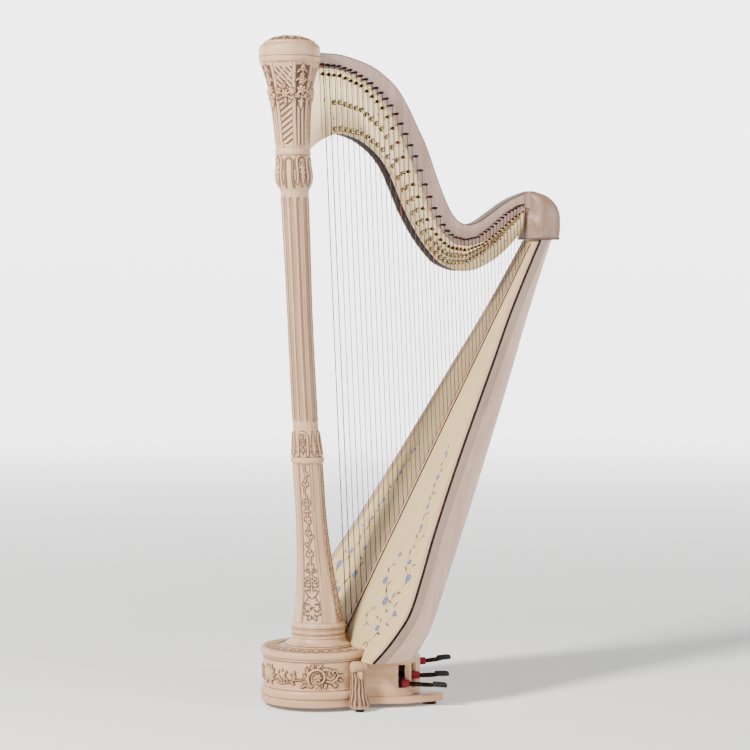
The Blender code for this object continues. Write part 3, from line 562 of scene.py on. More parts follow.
def metal(name, light, dark, roughness=(0.22, 0.42), scale=90.0, metallic=1.0):
    """Handled metal: colour drift, smudges and fine scratches."""
    s = Shader(name, metallic=metallic)
    drift = s.noise(s.place(), scale, 4.0, 0.6)
    scratch = s.noise(s.place((700.0, 60.0, 60.0)), 2.0, 2.0)
    s.set(s.surface, "Roughness", s.scaled(drift, *roughness))
    s.bump(scratch, 0.10, 0.0002)
    return s.colour(s.ramp(drift, [(0.30, dark), (0.65, light)]))


def paint(name, light, dark, scale=160.0, roughness=0.5):
    """Hand-painted decoration: thin colour with brush marks."""
    s = Shader(name, roughness=roughness)
    mark = s.noise(s.place((1.0, 1.0, 1.0)), scale, 3.0, 0.7, 0.8)
    s.bump(mark, 0.15, 0.0002)
    return s.colour(s.ramp(mark, [(0.35, dark), (0.65, light)]))


def make_materials():
    """All materials of the harp by name."""
    lean = (0, -30, 0)
    made = {
        "column": wood("column_wood", (0.56, 0.385, 0.255), (0.38, 0.235, 0.145)),
        "base": wood("base_wood", (0.55, 0.365, 0.230), (0.37, 0.220, 0.130), (0.9, 0.9, 9.0)),
        "neck": wood("neck_wood", (0.41, 0.285, 0.230), (0.27, 0.175, 0.135), (14.0, 14.0, 0.7)),
        # A darker copy of the neck wood: painted shade on the shoulder.
        "shoulder": wood("shoulder_painted_shade_wood", (0.30, 0.195, 0.145), (0.19, 0.118, 0.085), (14.0, 14.0, 0.7)),
        "disc": metal("disc_face", (0.78, 0.60, 0.30), (0.56, 0.39, 0.16), metallic=0.5),
        "crest": wood("crest_wood", (0.13, 0.080, 0.062), (0.08, 0.046, 0.036), (14.0, 14.0, 0.7)),
        "box": wood("soundbox_wood", (0.58, 0.410, 0.325), (0.42, 0.280, 0.210), (8.0, 8.0, 0.9), lean),
        # A darker copy of the soundbox wood: painted shade on the rim band beside the board.
        "rim": wood("rim_painted_shade_wood", (0.37, 0.285, 0.220), (0.27, 0.195, 0.145), (8.0, 8.0, 0.9), lean),
        "board": wood("soundboard_spruce", (0.56, 0.43, 0.235), (0.48, 0.35, 0.175), (1.2, 30.0, 1.2), lean,
                      figure=0.15),
        "border": wood("border_wood", (0.47, 0.320, 0.235), (0.37, 0.240, 0.170), (8.0, 8.0, 0.9), lean),
        # Near-black walnut: dark wood darkened further as painted shade, for the neck's downward faces; also the string
        # strip's sides.
        "walnut": wood("walnut", (0.030, 0.013, 0.009), (0.010, 0.005, 0.004), (9.0, 9.0, 0.9),
                       shine=0.06),
        # Near-black wood for the soundboard's edge and lines and the nuts' barrels; on the discs it is painted dark
        # reflection and shade of their brass rims.
        "edge": wood("dark_edge_wood_and_shade", (0.030, 0.010, 0.012), (0.010, 0.004, 0.005), (8.0, 8.0, 0.9), lean,
                     shine=0.06),
        "plate": metal("plate_lacquer", (0.64, 0.49, 0.280), (0.53, 0.385, 0.200), (0.30, 0.42), 14.0, 0.25),
        "brass": metal("brass", (0.62, 0.36, 0.085), (0.30, 0.155, 0.030)),
        "steel": metal("steel", (0.28, 0.27, 0.28), (0.14, 0.135, 0.145)),
        "pin": metal("pin_steel", (0.060, 0.040, 0.055), (0.020, 0.013, 0.020), (0.25, 0.40)),
        "red_pin": metal("red_pin_steel", (0.120, 0.010, 0.020), (0.050, 0.005, 0.010), (0.25, 0.40)),
        "bronze": metal("pedal_bronze", (0.026, 0.014, 0.007), (0.008, 0.005, 0.003), (0.22, 0.45), 60.0),
        "gut": paint("gut_string", (0.016, 0.009, 0.007), (0.008, 0.005, 0.004), 400.0, 0.35),
        "red": paint("red_string", (0.19, 0.008, 0.014), (0.10, 0.004, 0.008), 400.0, 0.35),
        "black": paint("black_string", (0.018, 0.014, 0.020), (0.007, 0.005, 0.008), 400.0, 0.35),
        "petal": paint("blue_petal", (0.060, 0.110, 0.300), (0.022, 0.042, 0.160)),
        "petal_pale": paint("pale_petal", (0.26, 0.31, 0.46), (0.12, 0.17, 0.33)),
        "heart": paint("flower_heart", (0.50, 0.34, 0.08), (0.24, 0.13, 0.03)),
        "green": paint("green_leaf", (0.095, 0.105, 0.055), (0.038, 0.046, 0.022)),
        "stalk": paint("brown_stalk", (0.085, 0.060, 0.034), (0.034, 0.024, 0.014)),
        "wound": wound_string(),
        "felt": felt(),
        "rubber": rubber(),
    }
    return made


def wound_string():
    """Wire wrapped closely round a core."""
    s = Shader("wound_string", roughness=0.40, metallic=0.5)
    wrap = s.node("ShaderNodeTexWave", "Fac", _bands_direction="Z", Vector=s.place(), Scale=560.0, Detail=1.0,
                  Distortion=0.2)
    s.bump(wrap, 0.8, 0.0004)
    return s.colour(s.ramp(wrap, [(0.2, (0.006, 0.003, 0.004)), (0.8, (0.028, 0.015, 0.014))]))


def felt():
    """Pressed crimson felt with loose fibres."""
    s = Shader("crimson_felt", roughness=0.95, Sheen_Weight=0.3, Sheen_Roughness=0.4)
    s.set(s.surface, "Sheen Tint", (0.6, 0.05, 0.08))
    fibre = s.noise(s.place(), 900.0, 6.0, 0.8, 1.2)
    clump = s.noise(s.place(), 180.0, 3.0, 0.6)
    base = s.mix(s.scaled(clump, 0.0, 0.6), (0.19, 0.003, 0.012), (0.09, 0.001, 0.006))
    s.bump(fibre, 0.6, 0.0006)
    return s.colour(s.mix(s.scaled(fibre, 0.0, 0.35), base, (0.24, 0.006, 0.020)))


def rubber():
    """Moulded black rubber, worn grey in patches."""
    s = Shader("black_rubber", roughness=0.6)
    s.set(s.surface, "Specular IOR Level", 0.15)
    wear = s.noise(s.place(), 70.0, 5.0, 0.65)
    grain = s.noise(s.place(), 1200.0, 2.0, 0.6)
    s.set(s.surface, "Roughness", s.scaled(wear, 0.42, 0.78))
    s.bump(grain, 0.25, 0.0003)
    return s.colour(s.ramp(wear, [(0.35, (0.006, 0.006, 0.0065)), (0.72, (0.020, 0.019, 0.0185))]))


M = make_materials()


# ---------------------------------------------------------------- column

def round_rows(z, turn, radius):
    """Rows of level rings round the column's line; radius has a row per height."""
    z = np.asarray(z)[:, None]
    return np.stack(np.broadcast_arrays(
        centre(z) + radius * np.cos(turn), radius * np.sin(turn), z), axis=-1)


def even_turn(count):
    """Evenly spread turns of a ring, in radians."""
    return (np.arange(count) + 0.5) * 2 * math.pi / count


def around(turn, radius, start, period):
    """Distance round a ring from the nearest of a row of evenly spread places, in degrees."""
    away = (np.degrees(turn) - start + period / 2) % period - period / 2
    return np.radians(away) * radius


def grooved(z, radius, lines, depth=0.0008, width=0.0008):
    """A turned radius with fine cut lines at some heights, and its shadow."""
    cuts = sum(groove(z - at, width) for at in lines)
    return radius - depth * cuts, np.clip(cuts, 0.0, 1.0) * 0.8


def behind_board(points, clearance):
    """Moves points forward so that they stay clear of the soundboard's face."""
    sin, cos = math.sin(BOARD_LEAN), math.cos(BOARD_LEAN)
    depth = (points[..., 0] - BOARD_FOOT[0]) * cos - (points[..., 2] - BOARD_FOOT[1]) * sin
    points = points.copy()
    points[..., 0] -= np.maximum(depth + clearance, 0.0) / cos
    return points


def make_socle():
    """The round foot of the column, with fine turned lines, cut flat where the soundboard passes."""
    table = [
        (0.1654, 0.0975), (0.1662, 0.0988), (0.1690, 0.0990), (0.1705, 0.0978), (0.1720, 0.0940),
        (0.1745, 0.0885), (0.1780, 0.0835), (0.1825, 0.0795), (0.1880, 0.0768), (0.1895, 0.0764),
        (0.1905, 0.0772), (0.1925, 0.0776), (0.1945, 0.0772), (0.1955, 0.0757), (0.2180, 0.0752),
        (0.2190, 0.0760), (0.2215, 0.0768), (0.2245, 0.0766), (0.2275, 0.0752), (0.2300, 0.0728),
        (0.2340, 0.0700),
    ]
    z = np.linspace(0.1654, 0.2340, 110)
    radius, shade_of_lines = grooved(z, between(table, z), (0.1712, 0.1990, 0.2020, 0.2140, 0.2185))
    turn = even_turn(180)
    rows = behind_board(round_rows(z, turn, radius[:, None]), 0.0042)
    carve = np.broadcast_to(shade_of_lines[:, None], rows.shape[:2])
    socle = finish_mesh("socle", *tube_data(rows), M["column"], slot="pale_wood", carve=carve)
    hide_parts("column_socle")


def octagon_rows(z, radius, wide, wide_relief, narrow_relief, wide_count, narrow_count):
    """Rows of eight-sided rings whose wide faces lie on the diagonals, with carving on each face.

    A relief function takes places across a face, heights and the face's half width, and gives height and shadow.
    """
    z = np.asarray(z)[:, None]
    radius = np.asarray(radius)[:, None]
    columns = []
    shadows = []
    for quarter in range(4):
        for middle, half_turn, count, relief in (
            (45.0 + 90.0 * quarter, wide, wide_count, wide_relief),
            (90.0 + 90.0 * quarter, 45.0 - wide, narrow_count, narrow_relief),
        ):
            half = radius * math.sin(math.radians(half_turn))
            u = (np.arange(count) / count * 2.0 - 1.0)[None, :] * half
            height, shadow = relief(u, z, half)
            out = radius * math.cos(math.radians(half_turn)) + height
            a = math.radians(middle)
            columns.append(np.stack(np.broadcast_arrays(
                centre(z) + out * math.cos(a) - u * math.sin(a),
                out * math.sin(a) + u * math.cos(a), z), axis=-1))
            shadows.append(np.broadcast_to(shadow, u.shape))
    return np.concatenate(columns, axis=1), np.concatenate(shadows, axis=1)


def carve_garland(r, h):
    """The garland of a column panel: bell drop, sprigs, a heart, scrolls and a bunch of flowers."""
    r.berry(0.0, 0.6720, 0.0026, h)
    r.stem([(0.0, 0.6700), (0.0, 0.6540)], 0.0026, h)
    r.leaf(0.0, 0.6560, -60, 0.016, 0.0070, h, bend=0.3)
    r.stem([(0.0, 0.6560), (0.0035, 0.6460), (0.0030, 0.6360), (-0.0015, 0.6280)], 0.0028, h)
    for z, size in ((0.6270, 1.0), (0.5290, 1.0), (0.4900, 1.0), (0.4300, 1.15), (0.3950, 1.1)):
        for side in (-1, 1):
            r.leaf(0.0, z - 0.010, 90 - side * 48, 0.0130 * size, 0.0066 * size, h, bend=side * 0.25)
            r.leaf(0.0, z - 0.004, 90 - side * 105, 0.0105 * size, 0.0056 * size, h, bend=-side * 0.25)
        r.leaf(0.0, z - 0.002, 90, 0.0130 * size, 0.0060 * size, h)
        r.berry(0.0, z - 0.012, 0.0028 * size, h)
    r.stem([(0.0, 0.6150), (-0.0040, 0.6060), (-0.0030, 0.5960), (0.0020, 0.5880), (0.0, 0.5780)], 0.0026, h)
    for side in (-1, 1):
        heart = [(0.0, 0.5720), (side * 0.0030, 0.5765), (side * 0.0065, 0.5765), (side * 0.0090, 0.5720),
                 (side * 0.0080, 0.5655), (side * 0.0040, 0.5590), (0.0, 0.5540)]
        r.stem(heart, 0.0030, h)
        r.leaf(0.0, 0.5500, -90 + side * 40, 0.0130, 0.0060, h, bend=side * 0.2)
    r.stem([(0.0, 0.5540), (0.0, 0.5160), (0.0020, 0.5050), (0.0, 0.4960)], 0.0024, h)
    r.leaf(0.0015, 0.5120, 35, 0.0110, 0.0060, h)
    r.stem([(0.0, 0.4780), (0.0045, 0.4700), (0.0040, 0.4600), (-0.0030, 0.4520), (-0.0025, 0.4430),
            (0.0, 0.4370)], 0.0028, h)
    r.leaf(0.0040, 0.4680, 60, 0.0140, 0.0066, h, bend=-0.3)
    r.leaf(-0.0030, 0.4500, 150, 0.0110, 0.0060, h)
    r.stem([(0.0, 0.4180), (0.0030, 0.4100), (0.0, 0.4040)], 0.0028, h)
    for side in (-1, 1):
        r.stem([(0.0, 0.3870), (side * 0.0030, 0.3790), (side * 0.0090, 0.3760), (side * 0.0140, 0.3800)],
               0.0030, h, 0.5)
        r.stem(arc(side * 0.0105, 0.3500, 0.0085, 90 - side * 100, 90 + side * 330, 22, 0.25), 0.0038, h, 0.6)
        r.stem([(0.0, 0.3660), (side * 0.0040, 0.3620), (side * 0.0090, 0.3590)], 0.0032, h)
        r.leaf(side * 0.0030, 0.3420, -90 + side * 60, 0.0160, 0.0080, h, bend=side * 0.2)
        r.leaf(0.0, 0.3080, 90 - side * 62, 0.0230, 0.0100, h, 3, side * 0.25)
        r.leaf(0.0, 0.3020, 90 - side * 30, 0.0270, 0.0100, h, 3, side * 0.10)
        r.leaf(0.0, 0.2960, 90 - side * 98, 0.0230, 0.0110, h, 3, -side * 0.20)
        r.flower(side * 0.0130, 0.2760, 0.0095, h * 1.1, 5, side * 0.4)
        r.leaf(side * 0.0040, 0.2620, -90 + side * 72, 0.0210, 0.0100, h, 2, side * 0.2)
        r.leaf(side * 0.0040, 0.2560, -90 + side * 30, 0.0170, 0.0090, h, 2)
    r.stem([(0.0, 0.3980), (0.0, 0.3300), (0.0, 0.2500)], 0.0030, h)
    r.leaf(0.0, 0.3060, 90, 0.0280, 0.0100, h, 3)
    r.flower(0.0, 0.2900, 0.0120, h * 1.25, 6)
    r.flower(0.0, 0.2620, 0.0100, h * 1.15, 5)
    r.berry(0.0085, 0.3000, 0.0035, h)
    r.berry(-0.0085, 0.3000, 0.0035, h)


def garland_panel(u, z, half):
    """A framed, sunk panel with its garland."""
    sunk = np.clip((half - 0.0058 - np.abs(u)) / 0.0012, 0.0, 1.0)
    sunk = sunk * np.clip((0.6752 - z) / 0.0012, 0.0, 1.0)
    r = Relief(u, z + 0.0 * u)
    carve_garland(r, 0.0023)
    frame_line = groove(np.abs(u) - (half - 0.0030), 0.0006)
    height = -0.0017 * sunk + np.minimum(r.height, 0.0030) * sunk - 0.0007 * frame_line
    edge_shadow = groove(np.abs(u) - (half - 0.0064), 0.0011) * 0.8
    shadow = np.maximum(hollow_mark(r.height, 0.0, 0.0016) * groove_near(r) * sunk, edge_shadow)
    return height, np.clip(np.maximum(shadow, 0.6 * frame_line), 0.0, 1.0)


def groove_near(r):
    """1 in the ground close around carved shapes, fading to 0 away from them."""
    raised = (r.height > 0.0003).astype(float)
    spread = raised.copy()
    for _ in range(3):
        grown = spread.copy()
        grown[1:] = np.maximum(grown[1:], spread[:-1] * 0.82)
        grown[:-1] = np.maximum(grown[:-1], spread[1:] * 0.82)
        grown[:, 1:] = np.maximum(grown[:, 1:], spread[:, :-1] * 0.82)
        grown[:, :-1] = np.maximum(grown[:, :-1], spread[:, 1:] * 0.82)
        spread = grown
    return spread


def plain_face(u, z, half):
    """A plain face with one fine line along each edge, with painted shade in the line."""
    line = groove(np.abs(u) - (half - 0.0026), 0.0006)
    return -0.0006 * line, 0.55 * line


def make_lower_column():
    """The eight-sided lower column, with carved panels on its diagonal faces."""
    table = [
        (0.2344, 0.0730), (0.2500, 0.0700), (0.2770, 0.0662), (0.3190, 0.0598), (0.4040, 0.0512),
        (0.5180, 0.0446), (0.6300, 0.0440), (0.6796, 0.0436),
    ]
    z = np.linspace(0.2344, 0.6796, 330)
    rows, carve = octagon_rows(z, smooth_table(table, z), 29.0, garland_panel, plain_face, 44, 10)
    rows = behind_board(rows, 0.0042)
    lower = finish_mesh("lower_column", *tube_data(rows), M["column"], slot="pale_wood", carve=carve, smooth=50)
    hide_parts("column_lower")


def make_leaf_collar():
    """The collar of arches and leaves over a bead, between lower column and shaft."""
    table = [
        (0.6800, 0.0440), (0.6812, 0.0452), (0.6840, 0.0464), (0.6890, 0.0470), (0.6935, 0.0464),
        (0.6955, 0.0448), (0.6965, 0.0428), (0.6985, 0.0420), (0.7130, 0.0410), (0.7450, 0.0380),
        (0.7700, 0.0358), (0.7796, 0.0352),
    ]
    z = np.linspace(0.6800, 0.7796, 96)
    turn = even_turn(252)
    base = between(table, z)[:, None]
    rows_z = z[:, None] + 0.0 * turn
    arch_u = around(turn, base, 45.0, 90.0)
    leaf_u = around(turn, base, 0.0, 90.0)
    arches = Relief(arch_u, rows_z)
    outline = [(-0.0135, 0.7000), (-0.0135, 0.7500)] + arc(0.0, 0.7520, 0.0135, 180, 0, 16)
    outline += [(0.0135, 0.7500), (0.0135, 0.7000)]
    arches.stem(outline, 0.0062, 0.0038)
    arches.stem([(0.0, 0.7560), (0.0, 0.7250)], 0.0024, 0.0018)
    for side in (-1, 1):
        arches.leaf(0.0, 0.7280, 90 - side * 40, 0.0130, 0.0056, 0.0022, bend=side * 0.2)
        arches.leaf(0.0, 0.7220, -90 + side * 40, 0.0120, 0.0056, 0.0022)
        arches.leaf(0.0, 0.7400, 90 - side * 50, 0.0110, 0.0050, 0.0020)
    arches.leaf(0.0, 0.7240, -90, 0.0190, 0.0080, 0.0026, 2)
    arches.berry(0.0, 0.7600, 0.0030, 0.0022)
    leaves = Relief(leaf_u, rows_z)
    leaves.acanthus(0.0, 0.7010, 90, 0.0720, 0.0230, 0.0030)
    leaves.leaf(0.0, 0.7030, 90, 0.0420, 0.0120, 0.0040, 3)
    height = np.maximum(arches.height, leaves.height) * np.clip((rows_z - 0.6990) / 0.0012, 0.0, 1.0)
    near = np.maximum(groove_near(arches), groove_near(leaves))
    # Painted shade round the carved arches and leaves, and in the cut line under them.
    carve = hollow_mark(height, 0.0, 0.0026) * near * (rows_z > 0.6975) * 0.9
    carve = np.maximum(carve, groove(rows_z - 0.6972, 0.0009))
    rows = round_rows(z, turn, base + height)
    collar = finish_mesh("leaf_collar", *tube_data(rows), M["column"], slot="pale_wood", carve=carve, smooth=60)
    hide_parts("column_collar_lower")


def make_shaft():
    """The fluted shaft; each flute is round at both ends."""
    table = [
        (0.7800, 0.0352), (0.8000, 0.0354), (0.9950, 0.0352), (1.1340, 0.0354), (1.3280, 0.0377),
        (1.4150, 0.0388), (1.4346, 0.0397),
    ]
    foot, head, half = 0.7960, 1.4180, 0.0062
    ends = np.concatenate([np.linspace(0.78, 0.812, 26), np.linspace(0.82, 1.395, 24),
                           np.linspace(1.402, 1.4346, 26)])
    turn = even_turn(312)
    base = smooth_table(table, ends)[:, None]
    u = around(turn, base, 15.0, 30.0)
    past = np.maximum(np.maximum(foot + half - ends, ends - head + half), 0.0)[:, None]
    away = np.hypot(u, past)
    depth = 0.0042 * ridge(away, half)
    bead = 0.0008 * groove(away - half - 0.0009, 0.0006)
    # Painted shade, deepest in the flutes and along their edges.
    carve = np.clip(depth / 0.0042, 0.0, 1.0) ** 2 * 0.35 + groove(away - half, 0.0006) * 0.6
    rows = round_rows(ends, turn, base - depth + bead)
    shaft = finish_mesh("shaft", *tube_data(rows), M["column"], slot="pale_wood", carve=np.clip(carve, 0, 1),
                        smooth=60)
    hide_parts("column_shaft")


def make_upper_collar():
    """The collar under the capital: a ring, a swelling and four carved straps."""
    table = [
        (1.4350, 0.0402), (1.4390, 0.0412), (1.4450, 0.0432), (1.4560, 0.0478), (1.4680, 0.0505),
        (1.4780, 0.0512), (1.4880, 0.0506), (1.4980, 0.0490), (1.5100, 0.0478), (1.5250, 0.0474),
        (1.5330, 0.0472), (1.5350, 0.0484), (1.5385, 0.0496), (1.5430, 0.0498), (1.5470, 0.0492),
        (1.5495, 0.0478), (1.5531, 0.0476),
    ]
    z = np.linspace(1.4350, 1.5531, 104)
    turn = even_turn(252)
    base = between(table, z)[:, None]
    rows_z = z[:, None] + 0.0 * turn
    straps = Relief(around(turn, base, 0.0, 90.0), rows_z)
    outline = [(-0.0150, 1.4560), (-0.0150, 1.5180)] + arc(0.0, 1.5180, 0.0150, 180, 0, 16)
    outline += [(0.0150, 1.5180), (0.0150, 1.4560)]
    straps.stem(outline, 0.0060, 0.0034)
    straps.acanthus(0.0, 1.5080, -90, 0.0640, 0.0250, 0.0040)
    straps.leaf(0.0, 1.5120, -90, 0.0420, 0.0120, 0.0052, 3)
    straps.flower(0.0, 1.5180, 0.0075, 0.0040, 5)
    between_straps = Relief(around(turn, base, 45.0, 90.0), rows_z)
    between_straps.stem([(-0.0110, 1.4450), (-0.0110, 1.5150)] + arc(0.0, 1.5150, 0.0110, 180, 0, 14)
                        + [(0.0110, 1.5150), (0.0110, 1.4450)], 0.0030, 0.0016)
    fade = np.clip((1.5330 - rows_z) / 0.0010, 0.0, 1.0)
    height = np.maximum(straps.height, between_straps.height) * fade
    near = np.maximum(groove_near(straps), groove_near(between_straps))
    # Painted shade round the carved straps and leaves, and in the cut line over them.
    carve = hollow_mark(height, 0.0, 0.0026) * near * fade * 0.9
    carve = np.maximum(carve, groove(rows_z - 1.5338, 0.0009))
    rows = round_rows(z, turn, base + height)
    collar = finish_mesh("upper_collar", *tube_data(rows), M["column"], slot="pale_wood", carve=carve, smooth=60)
    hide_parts("column_collar_upper")


def carve_swag(r, half):
    """The band of flowers and leaves round the capital."""
    r.flower(0.0, 1.7020, 0.0125, 0.0068, 6)
    for side in (-1, 1):
        r.flower(side * 0.0190, 1.7060, 0.0095, 0.0058, 5, 0.5 * side)
        r.leaf(side * 0.0060, 1.6960, -90 + side * 50, 0.0210, 0.0100, 0.0050, 3, side * 0.2)
        r.leaf(side * 0.0080, 1.7100, 90 - side * 60, 0.0190, 0.0095, 0.0050, 3, -side * 0.2)
        r.leaf(side * 0.0200, 1.6980, -90 + side * 20, 0.0190, 0.0090, 0.0045, 2)
    r.leaf(0.0, 1.6940, -90, 0.0300, 0.0130, 0.0056, 4)
    r.leaf(0.0, 1.7120, 90, 0.0240, 0.0110, 0.0050, 3)


def lattice_panel(u, z, half):
    """A diagonal face of the capital: slanting ribs in a sunk frame, crossed by the swag."""
    edge = half - 0.0065
    inside = np.clip((edge - np.abs(u)) / 0.0012, 0.0, 1.0)
    inside = inside * np.clip((z - 1.5620) / 0.0015, 0.0, 1.0) * np.clip((1.7760 - z) / 0.0015, 0.0, 1.0)
    pitch = 0.0165
    slant = np.where(z > 1.7080, 1.15, -0.75)
    rib_place = ((z + slant * u) % pitch - pitch / 2)
    ribs = 0.0044 * ridge(rib_place, pitch * 0.34)
    top_leaf = np.where(z > 1.7150, 0.0030 * ridge((z - slant * u) % (pitch * 2) - pitch, pitch * 0.30), 0.0)
    ribs = np.maximum(ribs, top_leaf)
    swag = Relief(u, z + 0.0 * u)
    carve_swag(swag, half)
    beads = 0.0016 * ridge(np.hypot(np.abs(u) - (half - 0.0042), (z % 0.0060) - 0.0030), 0.0017)
    ground = -0.0046 * inside + ribs * inside
    height = np.maximum(ground + beads * (z < 1.69), swag.height - 0.0005 * (swag.height < 0.0005))
    shadow = hollow_mark(ground, -0.0046, -0.0012) * inside
    shadow = np.maximum(shadow, groove(np.abs(u) - (edge + 0.0004), 0.0009))
    shadow = np.where(swag.height > 0.0012, hollow_mark(swag.height, 0.0012, 0.0042) * 0.5, shadow)
    return height, np.clip(np.maximum(shadow, groove_near(swag) * (swag.height <= 0.0012) * 0.9), 0.0, 1.0)


def pilaster_face(u, z, half):
    """An axis face of the capital: a sunk pilaster with a bell drop over two rods."""
    edge = half - 0.0040
    inside = np.clip((edge - np.abs(u)) / 0.0012, 0.0, 1.0)
    inside = inside * np.clip((z - 1.5600) / 0.0015, 0.0, 1.0) * np.clip((1.7800 - z) / 0.0015, 0.0, 1.0)
    rods = 0.0046 * ridge(np.abs(u) - 0.0056, 0.0040) * np.clip((1.6700 - z) / 0.0040, 0.0, 1.0)
    drop = Relief(u, z + 0.0 * u)
    drop.leaf(0.0, 1.7820, -90, 0.0260, 0.0150, 0.0060, 3)
    drop.leaf(0.0, 1.7620, -90, 0.0240, 0.0170, 0.0062, 3)
    for side in (-1, 1):
        drop.leaf(side * 0.0030, 1.7720, -90 + side * 35, 0.0230, 0.0080, 0.0050, 2, side * 0.2)
        drop.leaf(side * 0.0030, 1.7480, -90 + side * 40, 0.0230, 0.0085, 0.0052, 2, side * 0.2)
    drop.flower(0.0, 1.7350, 0.0110, 0.0066, 5)
    drop.flower(0.0, 1.7120, 0.0140, 0.0080, 6, 0.3)
    drop.flower(0.0120, 1.6960, 0.0085, 0.0060, 5)
    drop.flower(-0.0120, 1.6960, 0.0085, 0.0060, 5)
    drop.acanthus(0.0, 1.6980, -90, 0.0420, 0.0240, 0.0056)
    drop.leaf(0.0, 1.6900, -90, 0.0320, 0.0120, 0.0066, 3)
    ground = (-0.0030 + rods) * inside
    height = np.maximum(ground, drop.height - 0.0008 * (drop.height < 0.0005))
    shadow = hollow_mark(ground, -0.0030, 0.0002) * inside * 0.9
    shadow = np.where(drop.height > 0.0012, hollow_mark(drop.height, 0.0012, 0.0048) * 0.5, shadow)
    return height, np.clip(np.maximum(shadow, groove_near(drop) * (drop.height <= 0.0012) * 0.9), 0.0, 1.0)


def make_capital():
    """The eight-sided, flaring capital."""
    table = [
        (1.5535, 0.0475), (1.5770, 0.0500), (1.6320, 0.0535), (1.6730, 0.0580), (1.7090, 0.0625),
        (1.7420, 0.0690), (1.7690, 0.0775), (1.7875, 0.0840),
    ]
    z = np.linspace(1.5535, 1.7875, 190)
    rows, carve = octagon_rows(z, smooth_table(table, z), 25.0, lattice_panel, pilaster_face, 50, 38)
    capital = finish_mesh("capital_carved", *tube_data(rows), M["column"], slot="pale_wood", carve=carve, smooth=60)
    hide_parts("capital")


def make_crown():
    """The round lid, with a plain band, a double line and a dome of carved leaves."""
    profile = [
        (0.0810, 1.7880), (0.0826, 1.7900), (0.0845, 1.7935), (0.0856, 1.7980), (0.0858, 1.8010),
        (0.0850, 1.8035), (0.0840, 1.8048), (0.0846, 1.8060), (0.0850, 1.8090), (0.0850, 1.8250),
        (0.0845, 1.8290), (0.0828, 1.8330), (0.0795, 1.8370), (0.0750, 1.8405), (0.0722, 1.8420),
        (0.0715, 1.8440), (0.0712, 1.8462), (0.0700, 1.8475), (0.0660, 1.8500), (0.0560, 1.8560),
        (0.0460, 1.8600), (0.0340, 1.8630), (0.0190, 1.8650), (0.0060, 1.8660),
    ]
    path = np.array(profile)
    walked = np.concatenate([[0.0], np.cumsum(np.hypot(*np.diff(path, axis=0).T))])
    at = np.linspace(0.0, walked[-1], 120)
    r = np.interp(at, walked, path[:, 0])
    z = np.interp(at, walked, path[:, 1])
    turn = even_turn(256)
    leaves = Relief(around(turn, r[:, None], 22.5, 45.0), r[:, None] + 0.0 * turn)
    leaves.acanthus(0.0, 0.0130, 90, 0.0540, 0.0340, 0.0036)
    leaves.leaf(0.0, 0.0110, 90, 0.0520, 0.0140, 0.0046, 4)
    small = Relief(around(turn, r[:, None], 0.0, 45.0), r[:, None] + 0.0 * turn)
    small.leaf(0.0, 0.0380, 90, 0.0310, 0.0120, 0.0040, 3)
    small.leaf(0.0, 0.0120, 90, 0.0180, 0.0080, 0.0044)
    height = np.maximum(leaves.height, small.height)
    height = np.maximum(height, 0.0042 * ridge(r[:, None], 0.0105) + 0.0 * turn)
    dome = np.clip((0.0690 - r[:, None]) / 0.0020, 0.0, 1.0) * (z[:, None] > 1.8465)
    rows_z = z[:, None] + (height - 0.0046) * dome
    near = np.maximum(groove_near(leaves), groove_near(small))
    # Painted shade in the hollows of the carved dome and in the line round the band.
    carve = hollow_mark(height, 0.0, 0.0034) * dome * np.maximum(near, 0.4)
    carve = np.maximum(carve, groove(z[:, None] - 1.8048, 0.0008) * 0.9 * (r[:, None] > 0.08))
    middle = centre(z)[:, None]
    rows = np.stack(np.broadcast_arrays(middle + r[:, None] * np.cos(turn), r[:, None] * np.sin(turn), rows_z),
                    axis=-1)
    crown = finish_mesh("crown", *tube_data(rows), M["column"], slot="pale_wood", carve=np.clip(carve, 0, 1),
                        smooth=60)
    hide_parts("crown_cap")


# ---------------------------------------------------------------- base

def mirrored(half):
    """A closed outline from its -Y half, listed from front to rear."""
    return list(half) + [(x, -y) for x, y in reversed(half) if abs(y) > 1e-6]


def moved_in(outline, wall):
    """A closed outline moved inward by a wall."""
    p = np.asarray(outline, float)
    along = np.roll(p, -1, axis=0) - np.roll(p, 1, axis=0)
    along /= np.linalg.norm(along, axis=1)[:, None]
    inward = np.column_stack([-along[:, 1], along[:, 0]])
    middle = p.mean(axis=0)
    side = np.sign(((middle - p) * inward).sum(axis=1).mean())
    return p + inward * wall * side


